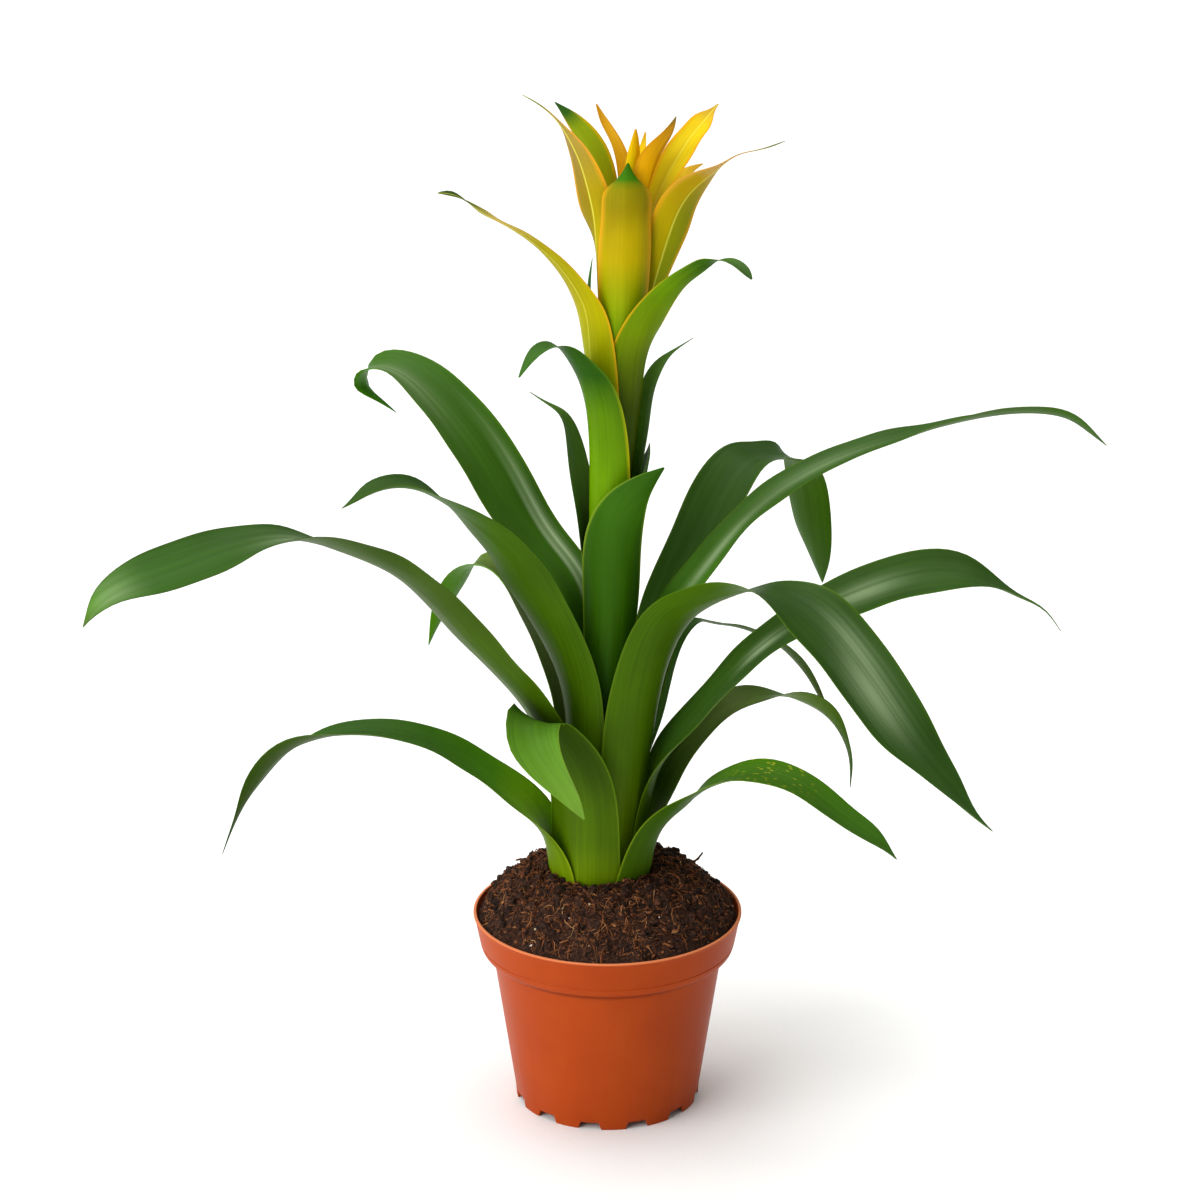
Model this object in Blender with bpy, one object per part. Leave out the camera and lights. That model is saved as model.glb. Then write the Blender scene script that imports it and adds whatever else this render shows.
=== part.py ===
"""A bromeliad in a plastic nursery pot: pot, potting mix, flower stem, rosette leaves and bracts.

The pot stands on the plane z = 0 with its axis on Z. Lengths in the tables are millimetres, angles degrees.
Each leaf is listed by its facing (0 is +X, 90 is +Y), the ring of the crown that it grows from, the width of
its base, and stations along its midrib: (out, up, width, roll) and, where the leaf swings sideways, a fifth
value. "out" runs along the facing from the leaf's ring, or for a bract from the stem's full radius, and "up"
from the plane of the pot's lip.
"""

import math

import bpy
import bmesh
import numpy as np

MM = 0.001

# Pot: a thin moulded shell with a wider band below its lip, a notched foot and a floor dished to a pad.
POT_HEIGHT = 97.0
POT_LIP_RADIUS = 65.0
POT_LIP_BEAD = 0.6
POT_LIP_HEIGHT = 2.0
POT_LIP_FLARE = 4.0
POT_BAND_HEIGHT = 19.0
POT_SHELF_DROP = 3.0
POT_SHELF_WIDTH = 5.5
POT_FOOT_INSET = 20.0
POT_WALL = 1.2
FOOT_COUNT = 12
FOOT_TAPER = 0.4
NOTCH_HEIGHT = 4.0
FLOOR_HEIGHT = 5.5
PAD_INSET = 29.0
DISH_RUN = 6.0
DRAIN_COUNT = 8
DRAIN_RADIUS = 4.0
DRAIN_INSET = 13.0
DRAIN_SIDES = 12
POT_SIDES = 4 * FOOT_COUNT
POT_BAND_RADIUS = POT_LIP_RADIUS - POT_LIP_FLARE
POT_WALL_TOP_RADIUS = POT_BAND_RADIUS - POT_SHELF_WIDTH
POT_FOOT_RADIUS = POT_LIP_RADIUS - POT_FOOT_INSET
PAD_RADIUS = POT_FOOT_RADIUS - PAD_INSET
DRAIN_CIRCLE = POT_FOOT_RADIUS - DRAIN_INSET

# Potting mix: it fills the pot and mounds up round the crown.
GAP = 0.3
SOIL_BELOW_LIP = 2.5
SOIL_CROWN_UP = 22.0
SOCKET_FLOOR_GAP = 1.0
SOCKET_CLEARANCE = 1.5
SOIL_ROUNDING = 5.0
SOIL_MOUND_RINGS = 4

# Plant: nested rings of leaf bases round a stem that leans to +X.
CROWN_X = -4.0
CROWN_BASE_UP = 10.0
STEM_RADIUS = 8.6
STEM_GAP = 1.0
RING_COUNT = 8
RING_GAP = 1.0
LEAN = math.tan(math.radians(2.2))
PLANT_SCALE = 1.0
LEAF_THICKNESS = 0.8
RING_STEP = LEAF_THICKNESS + RING_GAP
CROWN_RADIUS = STEM_RADIUS + STEM_GAP + RING_COUNT * RING_STEP
BRACT_THICKNESS = 0.6
LEAF_CUP = 24.0
LEAF_COLUMNS = 5
LEAF_ROW_LENGTH = 21.0
BRACT_ROW_LENGTH = 13.0
STEM_SIDES = 14

STEM_TAPER = [
    (10, 0), (60, 0.4), (94, 1.4), (134, 2), (184, 2.5), (239, 3), (262, 3.5), (282, 4.1), (300, 4.9),
    (316, 5.9), (328, 6.6)]

ROSETTE = [
    ("leaf_low_left", 188, 0, 46, [
        (0.2, 25, 45, -2), (5.5, 45, 40, -8), (26, 69, 32, -14), (55, 90, 27, -8), (94, 100, 25, 5),
        (114, 98, 25, 21), (129, 92, 24, 33), (143, 76, 19, 37), (151, 60, 9, 22), (158, 40, 1, 12)]),
    ("leaf_low_right", -20, 0, 50, [
        (1.1, 26, 44, 0), (5.6, 45, 39, -4), (15.3, 59.3, 29, -15), (25.7, 70, 23, -3), (49.3, 82, 21, 9),
        (75, 78.7, 21, 10), (99.5, 64.3, 19, 6), (112.8, 57, 14, 0), (124, 48, 1, -10)]),
    ("leaf_flopped_front", -115, 1, 42, [
        (2.8, 44, 40, 0), (7.8, 79, 36, 0, -2), (15.8, 103, 32, -5, -12), (24.8, 114, 28, -12, -15),
        (32.8, 110, 26, -12, -12), (34.8, 96, 22, -5, -4), (30.8, 80, 12, 0, 7), (28.8, 69, 1, 0, 14)]),
    ("leaf_hook_right", 25, 1, 26, [
        (1.8, 36, 24, 0), (8.8, 56, 22, 8), (18.8, 75, 20, 12), (30.8, 88, 20, 12), (46.8, 97, 20, 9),
        (61.8, 98, 20, -3), (74.8, 96, 20, -17), (86.8, 91, 19, -24), (97.8, 83, 16, -18),
        (106.8, 71, 12, 0), (112.8, 56, 7, 16), (113.8, 40, 1, 22)]),
    ("leaf_back_low", 90, 1, 24, [
        (1.8, 44, 28, 0), (21.8, 72, 34, 0), (55.8, 90, 36, 5), (97.8, 90, 36, 5), (139.8, 64, 32, 0),
        (167.8, 34, 20, 0), (180.8, 12, 1, 0)]),
    ("leaf_mid_right", -3, 2, 29, [
        (0.6, 36, 30, 0), (2.6, 58, 31, 0), (8.6, 81, 31, 5), (22.6, 102, 28, 12), (47.6, 133, 28, 14),
        (74.6, 154, 28, 22), (102.6, 168, 28, 32), (129.6, 176, 28, 30), (145.6, 176, 26, 18),
        (158.6, 172, 20, 0), (172.6, 165, 9, -10), (183.6, 159, 4, -12), (192.6, 148, 1, -10)]),
    ("leaf_long_left", 205, 2, 34, [
        (0.6, 40, 34, 0), (3.6, 72, 36, 4), (26.6, 122, 36, 12), (46.6, 146, 36, 16), (87.6, 190, 36, 17),
        (117.6, 207, 36, 18), (142.6, 216, 36, 8), (166.6, 215, 36, -4), (194.6, 209, 36, -14),
        (217.6, 204, 32, -10), (233.6, 197, 20, 3), (241.6, 187, 1, 12)]),
    ("leaf_back_mid", 98, 2, 24, [
        (1.6, 60, 26, 0), (13.6, 98, 28, 0), (39.6, 122, 30, 0), (74.6, 126, 30, 0), (107.6, 110, 24, 0),
        (123.6, 88, 12, 0), (128.6, 70, 1, 0)]),
    ("leaf_broad_right", -35, 3, 36, [
        (1.4, 60, 40, 0), (3.4, 100, 42, -8), (8.4, 135, 38, -15), (19.4, 159, 36, -22),
        (37.4, 173, 36, -23), (58.4, 182, 36, -16), (73.4, 183, 36, -5), (87.4, 179, 37, 8),
        (111.4, 163, 38, 15), (137.4, 138, 36, 14), (154.4, 122, 32, 5), (171.4, 109, 22, -8),
        (184.4, 99, 10, -20), (195.4, 93, 1, -28)]),
    ("leaf_bent_left", 145, 3, 28, [
        (1.4, 60, 28, 0), (4.4, 83, 24, 8), (10.4, 107, 22, 14), (21.4, 131, 22, 16), (36.4, 153, 22, 14),
        (50.4, 163, 23, 10), (62.4, 162, 24, 0), (71.4, 151, 22, 5), (80.4, 133, 14, 4), (87.4, 114, 1, -10)]),
    ("leaf_thin_right", 50, 3, 8, [
        (1, 40, 9, 0), (5.4, 60, 10, -5), (17.4, 84, 10, -8), (27.4, 108, 9, -8), (36.4, 125, 8, -6),
        (45.4, 130, 8, -4), (61.4, 125.6, 8, -5), (74.4, 120.7, 8, -6), (104.4, 106, 7.5, -8),
        (127.4, 90, 7, -8), (141.4, 76, 6, -8), (153.4, 60, 4, 0), (161.4, 48, 1, 0)]),
    ("leaf_mid_left", 215, 4, 24, [
        (0.7, 80, 32, 0), (3.2, 118, 30, 12), (11.2, 143, 27, 22), (25.2, 169, 26, 30), (43.2, 195, 26, 26),
        (60.2, 213, 26, 14), (78.2, 228, 26, -2), (104.2, 241, 24, 2), (117.2, 241, 20, 12),
        (126.2, 238, 12, 22), (134.2, 235, 1, 28)]),
    ("leaf_folded_right", 52, 4, 17, [
        (1, 50, 17, 0), (4.2, 75, 19, 0), (16.2, 112, 25, -2), (29.2, 143, 30, 0), (51.2, 171, 30, 8),
        (69.2, 193, 30, 10), (87.2, 203, 28, 8), (109.2, 200, 27, 9), (130.2, 192, 27, 10),
        (141.2, 172, 27, 4), (148.2, 149, 25, 6), (155.2, 131, 15, 12), (160.2, 118, 1, 20)]),
    ("leaf_tall_left", 150, 5, 28, [
        (0.5, 105, 30, 0), (2.5, 140, 32, -4), (8, 160, 33, -10), (26, 180, 34, -15), (45, 205, 34, -18),
        (64, 228, 34, -18), (83, 245, 33, -10), (102, 256, 30, -4), (116, 257, 26, -8), (125, 252, 22, -12),
        (126, 244, 18, -15), (119, 239, 12, -18), (107, 233, 1, -25)]),
    ("leaf_long_right", 18, 6, 24, [
        (1.3, 70, 24, 0), (3.8, 105, 25, 0), (7.8, 132, 24, 6), (17.8, 152, 24, 8), (31.8, 170, 24, 6),
        (50.8, 192, 24, 2), (89.8, 216, 24, 1), (129.8, 227, 22, -8), (159.8, 232, 20, -20),
        (201.8, 232, 17, -22), (217.8, 227, 14, -15), (229.8, 218, 8, -8), (237.8, 211, 1, -2)]),
    ("leaf_back_high", 84, 7, 20, [
        (0.2, 100, 20, 0), (1.6, 130, 21, 0), (8.6, 165, 22, 0), (24.6, 189, 24, 0), (48.6, 193, 22, 0),
        (68.6, 178, 14, 0), (78.6, 160, 1, 0)]),
]

BRACTS = [
    ("bract_front", -90, [
        (0, 94, 20, 0), (3.4, 134, 30, 0), (5.9, 169, 34, 0), (7.4, 199, 30, 0, 1), (8.9, 217, 18, 0, 8),
        (11.4, 232, 1, 0, 22)]),
    ("bract_dark_left", 165, [
        (-0.4, 114, 14, 0), (2.2, 150, 17, 0), (4.6, 178, 18, -8), (7.4, 208, 17, -20),
        (10.4, 225, 15, -22), (13.4, 239, 12, -16), (18.9, 250, 8, 0), (25.4, 254, 5, 10),
        (34.4, 259, 1, 15)]),
    ("bract_right_edge", 5, [
        (-0.4, 114, 16, 0), (1.4, 149, 22, 0), (3.4, 184, 25, 0), (5.4, 219, 22, 0), (6.4, 230, 12, 0),
        (6.8, 237, 1, 0)]),
    ("bract_bright_left", -133, [
        (-0.5, 134, 20, 0), (1.2, 165, 27, 0), (2.4, 189, 31, 0), (3.6, 226, 32, 0), (5.4, 248, 29, 0),
        (9.4, 265, 26, 0), (15.4, 277, 23, 0), (23.4, 287, 18, 0), (35.4, 295, 13, 0), (47.4, 295, 9, 0),
        (59.4, 285, 1, 0)]),
    ("bract_back_low", 84, [
        (-0.5, 134, 12, 0), (0.9, 164, 15, 0), (2.6, 194, 15, 0), (4.2, 214, 10, 0), (5.9, 229, 1, 0)]),
    ("bract_thin_right", 20, [
        (-0.8, 159, 12, 0), (-0.1, 184, 14, 0), (1, 209, 14, 6), (2.7, 229, 14, 12), (4.9, 249, 13, 12),
        (7.4, 266, 12, 10), (12.4, 275, 9, 0), (18.4, 280, 5, -15), (27.4, 285, 1, -20)]),
    ("bract_back_high", 120, [
        (-1, 184, 12, 0), (1.6, 214, 13, 0), (3.9, 239, 13, 0), (5.9, 259, 10, 0), (7.4, 271, 1, 0)]),
    ("bract_long_tipped", -155, [
        (-1.1, 199, 18, 0), (1.3, 229, 25, 0), (4.2, 261, 28, 5), (7.2, 287, 26, 14), (10.4, 305.5, 20, 20),
        (17.4, 319, 14, 22), (27.4, 331, 10, 22), (37.4, 340, 7.5, 22), (46.4, 346.5, 6.5, 20),
        (56.4, 352.5, 5, 15), (63.4, 357, 5.5, 26), (72, 363.5, 4, 0), (78.4, 367, 5, -20),
        (85.8, 368.5, 1, -20)]),
    ("bract_arched_right", -50, [
        (-1.4, 214, 18, 0), (0.2, 239, 24, 0), (2, 264, 28, 0), (3.6, 283, 27, -5), (7.4, 296, 22, -16),
        (15.4, 310, 17, -22), (28.4, 323.5, 12, -28), (41.4, 333, 9, -34), (49.4, 338, 7, -25),
        (54.4, 339.8, 5.5, -10), (62.4, 341.3, 5.5, 6), (70.4, 340.3, 5.5, 10), (75.4, 338, 4, 12),
        (78.4, 336, 1, 15)]),
    ("bract_small_left", 182, [
        (-1.5, 229, 10, 0), (0.7, 254, 12, 0), (3.4, 279, 14, 0), (6.1, 299, 14, 0), (7.2, 310, 11, 0),
        (7, 319, 6, 0), (6.2, 327, 1, 0)]),
    ("flower_front", -92, [
        (-1.6, 254, 12, 0), (0.4, 274, 18, 0), (3, 294, 25, 0), (4.7, 314, 28, 0), (5, 336, 29, 0),
        (4.6, 352, 27, 0), (4.4, 361, 24, 0), (4.2, 367, 11, 0), (3.4, 375, 1, 0)]),
    ("flower_right_outer", -10, [
        (-2.2, 262, 7, 0), (-0.4, 284, 8, 0), (2, 300, 9, -20), (4.9, 313, 11, -60), (8.5, 328, 16, -66),
        (11.9, 341, 20, -64), (15.6, 352, 22, -52), (21.7, 362, 21, -42), (28.5, 368.5, 14, -32),
        (34.8, 373.5, 5, -20), (41.4, 378, 3, -14), (51.4, 381, 2.5, -14), (58.4, 383.5, 3, -14),
        (62.9, 385.5, 1, -14)]),
    ("flower_left_outer", 188, [
        (-1.9, 267, 8, 0), (0.2, 287, 12, 0), (2.6, 309, 14, 0), (4.4, 333, 15, 14), (6.2, 347, 19, 46),
        (9.8, 362, 19, 45), (13.5, 374, 16, 38), (18.4, 384, 11, 30), (23.2, 391, 5, 20),
        (29.4, 397.5, 3, 15), (35.4, 402, 2.5, 15), (41.4, 405.5, 1, 15)]),
    ("flower_back_right", 32, [
        (-2.7, 272, 10, 0), (-1.6, 292, 11, 0), (0.6, 314, 13, 0), (4.9, 335, 14, 0), (10.9, 349, 13, 0),
        (17.9, 358.5, 11, 0), (25.4, 364, 8, 0), (32.4, 366, 1, 0)]),
    ("flower_back_left", 128, [
        (-2.6, 282, 10, 0), (-1, 302, 13, 0), (1, 322, 14, 0), (3.9, 342, 10, 0), (6.9, 354, 1, 0)]),
    ("flower_right", 25, [
        (-3, 290, 11, 0), (-1.6, 310, 13, 0), (0.9, 332, 15, 0), (5.4, 351, 15, 2), (11.2, 364, 16, 14),
        (17.8, 375, 16, 24), (24.4, 383.5, 13, 26), (29.9, 389, 10, 25), (32.9, 392, 4, 20),
        (35.9, 395, 1, 15)]),
    ("flower_green_left", 158, [
        (-3.8, 300, 9, 0), (-2.6, 320, 12, 0), (-1.1, 339, 14, 0), (1.2, 356, 15, -4), (5.9, 370, 17, -10),
        (12.9, 382, 16, -12), (20.4, 390, 11, -10), (25, 394, 6, -5), (28.8, 397, 1, 0)]),
    ("flower_orange", -14, [
        (-3.9, 306, 8, 0), (-2.9, 326, 12, 0), (-1.7, 342, 15, 0), (-0.4, 354, 18, -5), (1.2, 364, 20, -14),
        (4, 375.5, 19, -22), (8.7, 385.7, 13, -20), (11, 390.5, 8, -15), (12.6, 395, 1, -10)]),
    ("flower_back_point", 115, [
        (-4.3, 312, 7, 0), (-3.4, 332, 8, 0, -0.5), (-2.1, 350, 9, 0, -2), (1.4, 363, 9, 10, -3.2),
        (9.4, 377, 7.5, 15, -2), (18.4, 385, 5.5, 15), (25.9, 392, 1, 20, 1)]),
    ("flower_heart_front", -60, [
        (-4.6, 316, 6, 0), (-4, 340, 8, 0), (-3.3, 362, 9, 0), (-3.4, 378, 7, 0), (-3.6, 389, 1, 0)]),
    ("flower_heart_back", 38, [
        (-5, 320, 6, 0), (-4.2, 342, 7, 0), (-2.6, 362, 7, 0), (-0.8, 375, 6, 0), (0.6, 385, 1, 0)]),
]

LEAF_GREEN = (0.045, 0.135, 0.010)
BRACT_GREEN = (0.130, 0.300, 0.008)
BRACT_YELLOW = (0.640, 0.500, 0.010)
STEM_GREEN = (0.110, 0.240, 0.020)
POT_TERRACOTTA = (0.440, 0.065, 0.018)
SOIL_BROWN = (0.055, 0.025, 0.015)


def smooth_through(knots, values, places):
    """Reads a natural cubic spline through the values at the knots."""
    knots = np.asarray(knots, float)
    values = np.asarray(values, float)
    step = np.diff(knots)
    slope = np.diff(values, axis=0) / step[:, None]
    count = len(knots)
    system = np.eye(count)
    right = np.zeros_like(values)
    for i in range(1, count - 1):
        system[i, i - 1] = step[i - 1]
        system[i, i] = 2.0 * (step[i - 1] + step[i])
        system[i, i + 1] = step[i]
        right[i] = 6.0 * (slope[i] - slope[i - 1])
    bend = np.linalg.solve(system, right)
    piece = np.clip(np.searchsorted(knots, places) - 1, 0, count - 2)
    before = (places - knots[piece])[:, None]
    after = (knots[piece + 1] - places)[:, None]
    width = step[piece][:, None]
    cubic = (bend[piece] * after**3 + bend[piece + 1] * before**3) / (6.0 * width)
    low = (values[piece] / width - bend[piece] * width / 6.0) * after
    high = (values[piece + 1] / width - bend[piece + 1] * width / 6.0) * before
    return cubic + low + high


def leaf_surface(facing, root_radius, stations, row_length, columns):
    """Returns the leaf's middle surface as rows of points, with the upper face's direction at each.

    Each row is a circular arc. Low on the plant the arc wraps round the stem, and along the free blade it
    is as deep as LEAF_CUP; "settle" keeps the middle of that arc's depth on the midrib line.
    """
    table = np.array([(*station, 0.0)[:5] for station in stations], float)
    table[:, 0] += root_radius
    angle = math.radians(facing)
    forward = np.array([math.cos(angle), math.sin(angle), 0.0])
    sideways = np.array([-math.sin(angle), math.cos(angle), 0.0])
    steps = np.linalg.norm(np.diff(table[:, [0, 1, 4]], axis=0), axis=1)
    knots = np.concatenate([[0.0], np.cumsum(steps)])
    rows = max(6, round(knots[-1] / row_length)) + 1
    places = np.linspace(0.0, knots[-1], rows)
    line = smooth_through(knots, table, places)
    ahead = smooth_through(knots, table, np.minimum(places + 0.5, knots[-1]))
    behind = smooth_through(knots, table, np.maximum(places - 0.5, 0.0))
    surface = []
    normals = []
    for row in range(rows):
        out, up, width, roll, side = line[row]
        width = max(width, 1.0)
        middle = forward * out + sideways * side + np.array([0.0, 0.0, up])
        run = ahead[row] - behind[row]
        tangent = forward * run[0] + sideways * run[4] + np.array([0.0, 0.0, run[1]])
        tangent /= np.linalg.norm(tangent)
        across = sideways - tangent * (sideways @ tangent)
        across /= np.linalg.norm(across)
        face = np.cross(tangent, across)
        turn = math.radians(roll)
        across, face = (
            across * math.cos(turn) + face * math.sin(turn),
            face * math.cos(turn) - across * math.sin(turn),
        )
        hug = width / (2.0 * max(math.hypot(out, side), 1.0))
        half_angle = (hug**6 + math.radians(LEAF_CUP) ** 6) ** (1.0 / 6.0)
        radius = width / (2.0 * half_angle)
        settle = (1.0 - (hug / half_angle) ** 6) * radius * (1.0 - math.cos(half_angle)) / 2.0
        middle = middle - face * settle
        arc = np.linspace(-half_angle, half_angle, columns)[:, None]
        surface.append(middle + radius * (face * (1.0 - np.cos(arc)) + across * np.sin(arc)))
        normals.append(face * np.cos(arc) - across * np.sin(arc))
    return np.array(surface), np.array(normals)


def lean_with_stem(points):
    """Shifts points to +X with their height above the potting mix."""
    points = np.array(points, float)
    points[..., 0] += LEAN * (points[..., 2] - SOIL_CROWN_UP)
    return points


def leaf_shell(facing, root_radius, stations, row_length, thickness):
    """Returns vertices and faces of a closed leaf of even thickness, at the plant's scale."""
    surface, normals = leaf_surface(facing, root_radius, stations, row_length, LEAF_COLUMNS)
    rows, columns = surface.shape[:2]
    upper = lean_with_stem(surface + normals * thickness / 2.0)
    lower = lean_with_stem(surface - normals * thickness / 2.0)
    points = PLANT_SCALE * np.concatenate([upper.reshape(-1, 3), lower.reshape(-1, 3)])
    under = rows * columns
    faces = []
    for row in range(rows - 1):
        for column in range(columns - 1):
            corner = row * columns + column
            ring = (corner, corner + 1, corner + 1 + columns, corner + columns)
            faces.append(ring)
            faces.append(tuple(under + index for index in reversed(ring)))
    outline = list(range(columns))
    outline += [row * columns + columns - 1 for row in range(1, rows)]
    outline += [(rows - 1) * columns + column for column in range(columns - 2, -1, -1)]
    outline += [row * columns for row in range(rows - 2, 0, -1)]
    for here, there in zip(outline, outline[1:] + outline[:1]):
        faces.append((there, here, under + here, under + there))
    return points, faces


def ring_loft(rings):
    """Returns vertices and faces of a body lofted through closed rings, capped at both ends."""
    sides = len(rings[0])
    points = [point for ring in rings for point in ring]
    faces = [tuple(reversed(range(sides)))]
    for row in range(len(rings) - 1):
        for side in range(sides):
            here = row * sides + side
            there = row * sides + (side + 1) % sides
            faces.append((here, there, there + sides, here + sides))
    faces.append(tuple(range((len(rings) - 1) * sides, len(rings) * sides)))
    return points, faces


def circle(radius, height, sides, centre=0.0):
    turns = [2.0 * math.pi * i / sides for i in range(sides)]
    return [(centre + radius * math.cos(t), radius * math.sin(t), height) for t in turns]


# ---- Blender objects ----


def material(name, colour, roughness):
    made = bpy.data.materials.new(name)
    made.use_nodes = True
    shader = made.node_tree.nodes["Principled BSDF"]
    shader.inputs["Base Color"].default_value = (*colour, 1.0)
    shader.inputs["Roughness"].default_value = roughness
    shader.inputs["Metallic"].default_value = 0.0
    return made


def add_object(name, points, faces, skin, place=(0.0, 0.0, 0.0)):
    """Makes one closed mesh object from millimetre points."""
    mesh = bpy.data.meshes.new(name)
    mesh.from_pydata([tuple(MM * value for value in point) for point in points], [], faces)
    form = bmesh.new()
    form.from_mesh(mesh)
    bmesh.ops.recalc_face_normals(form, faces=form.faces)
    form.to_mesh(mesh)
    form.free()
    mesh.shade_smooth()
    mesh.set_sharp_from_angle(angle=math.radians(50))
    mesh.materials.append(skin)
    built = bpy.data.objects.new(name, mesh)
    built.location = tuple(MM * value for value in place)
    bpy.context.scene.collection.objects.link(built)
    return built


def pot_line():
    """The pot's outer line, from the centre of its pad out and up to its lip, as (radius, height)."""
    band_up = POT_HEIGHT - POT_BAND_HEIGHT
    return [
        (0.0, 0.0),
        (PAD_RADIUS, 0.0),
        (PAD_RADIUS + DISH_RUN, FLOOR_HEIGHT),
        (POT_FOOT_RADIUS, FLOOR_HEIGHT),
        (POT_WALL_TOP_RADIUS, band_up - POT_SHELF_DROP),
        (POT_WALL_TOP_RADIUS + 0.45 * POT_SHELF_WIDTH, band_up - 0.5 * POT_SHELF_DROP),
        (POT_WALL_TOP_RADIUS + 0.85 * POT_SHELF_WIDTH, band_up),
        (POT_BAND_RADIUS, band_up + 0.4 * POT_SHELF_DROP),
        (POT_LIP_RADIUS - POT_LIP_BEAD, POT_HEIGHT - POT_LIP_HEIGHT),
    ]


def move_inward(line, distance):
    """Offsets a line of (radius, height) points to its left, so that a wall keeps its thickness."""
    line = np.array(line)
    along = np.diff(line, axis=0)
    along /= np.linalg.norm(along, axis=1)[:, None]
    left = np.stack([-along[:, 1], along[:, 0]], axis=1)
    before = np.concatenate([left[:1], left])
    after = np.concatenate([left, left[-1:]])
    mitre = (before + after) / (1.0 + np.sum(before * after, axis=1))[:, None]
    return [tuple(point) for point in line + distance * mitre]


def add_pot():
    """The shell as closed rings: up the outside, over the lip, down the inside and across the floor."""
    line = pot_line()
    lip = [
        (POT_LIP_RADIUS, POT_HEIGHT - 0.6 * POT_LIP_HEIGHT),
        (POT_LIP_RADIUS, POT_HEIGHT - 0.2 * POT_LIP_HEIGHT),
        (POT_LIP_RADIUS - 0.3 * POT_WALL, POT_HEIGHT),
        (POT_LIP_RADIUS - 1.1 * POT_WALL, POT_HEIGHT),
    ]
    inside = move_inward(line, POT_WALL)[:0:-1]
    under = [
        (PAD_RADIUS, 0.0),
        (PAD_RADIUS + DISH_RUN, FLOOR_HEIGHT),
        (POT_FOOT_RADIUS - POT_WALL, FLOOR_HEIGHT),
    ]
    rings = [circle(radius, height, POT_SIDES) for radius, height in line[3:] + lip + inside]
    points = [point for ring in rings for point in ring]
    faces = []
    steps = [(side, (side + 1) % POT_SIDES) for side in range(POT_SIDES)]

    def join(low, high):
        for here, there in steps:
            faces.append((low + here, low + there, high + there, high + here))

    for row in range(len(rings) - 1):
        join(row * POT_SIDES, (row + 1) * POT_SIDES)
    faces.append(tuple((len(rings) - 1) * POT_SIDES + side for side in range(POT_SIDES)))
    under_start = len(points)
    for radius, height in under:
        points += circle(radius, height, POT_SIDES)
    faces.append(tuple(under_start + side for side in reversed(range(POT_SIDES))))
    join(under_start, under_start + POT_SIDES)
    join(under_start + POT_SIDES, under_start + 2 * POT_SIDES)
    foot_start = len(points)
    for radius in (POT_FOOT_RADIUS - FOOT_TAPER, POT_FOOT_RADIUS - FOOT_TAPER - POT_WALL):
        for side, (x, y, _) in enumerate(circle(radius, 0.0, POT_SIDES)):
            on_foot = side % (POT_SIDES // FOOT_COUNT) < 2
            points.append((x, y, 0.0 if on_foot else NOTCH_HEIGHT))
    join(foot_start, 0)
    join(foot_start + POT_SIDES, foot_start)
    join(under_start + 2 * POT_SIDES, foot_start + POT_SIDES)
    pot = add_object("pot", points, faces, material("moulded_polypropylene", POT_TERRACOTTA, 0.45))
    for hole in range(DRAIN_COUNT):
        turn = 2.0 * math.pi * (hole + 0.5) / DRAIN_COUNT
        ends = [circle(DRAIN_RADIUS, height, DRAIN_SIDES) for height in (-POT_WALL, 2.0 * POT_WALL)]
        place = (DRAIN_CIRCLE * math.cos(turn), DRAIN_CIRCLE * math.sin(turn), FLOOR_HEIGHT)
        cutter = add_object(f"drain_cutter_{hole + 1}", *ring_loft(ends), pot.data.materials[0], place)
        cutter.hide_render = True
        cutter.display_type = "WIRE"
        cut = pot.modifiers.new(f"drain_{hole + 1}", "BOOLEAN")
        cut.operation = "DIFFERENCE"
        cut.object = cutter


def add_soil():
    """The mix follows the pot's inside at a gap and mounds up to a socket round the leaf bases."""
    inside = move_inward(pot_line(), POT_WALL + GAP)
    shape = [(radius, height, 0.0) for radius, height in inside[1:-1]]
    rim_slope = (inside[-1][0] - inside[-2][0]) / (inside[-1][1] - inside[-2][1])
    edge_radius = inside[-1][0] - rim_slope * SOIL_BELOW_LIP
    edge_height = POT_HEIGHT - POT_LIP_HEIGHT - SOIL_BELOW_LIP
    shape.append((edge_radius, edge_height, 0.0))
    socket = PLANT_SCALE * (CROWN_RADIUS + LEAF_THICKNESS / 2.0) + SOCKET_CLEARANCE
    socket_floor = POT_HEIGHT + PLANT_SCALE * CROWN_BASE_UP - SOCKET_FLOOR_GAP
    crown = POT_HEIGHT + SOIL_CROWN_UP
    for step in range(1, SOIL_MOUND_RINGS + 1):
        share = step / (SOIL_MOUND_RINGS + 1.0)
        radius = edge_radius + share * (socket + SOIL_ROUNDING - edge_radius)
        height = edge_height + math.sin(share * math.pi / 2.0) * (crown - edge_height)
        shape.append((radius, height, share))
    shape += [
        (socket + SOIL_ROUNDING, crown, 1.0),
        (socket, crown - 0.2 * SOIL_ROUNDING, 1.0),
        (socket, socket_floor, 1.0),
    ]
    rings = [circle(radius, height, POT_SIDES, CROWN_X * shift) for radius, height, shift in shape]
    add_object("soil", *ring_loft(rings), material("peat_and_coir_mix", SOIL_BROWN, 0.95))


def add_stem(place):
    rings = []
    for up, taper in STEM_TAPER:
        ring = lean_with_stem(circle(STEM_RADIUS - taper, up, STEM_SIDES))
        rings.append([tuple(point) for point in PLANT_SCALE * ring])
    points, faces = ring_loft(rings)
    add_object("stem", points, faces, material("scape_green", STEM_GREEN, 0.5), place)


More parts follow.
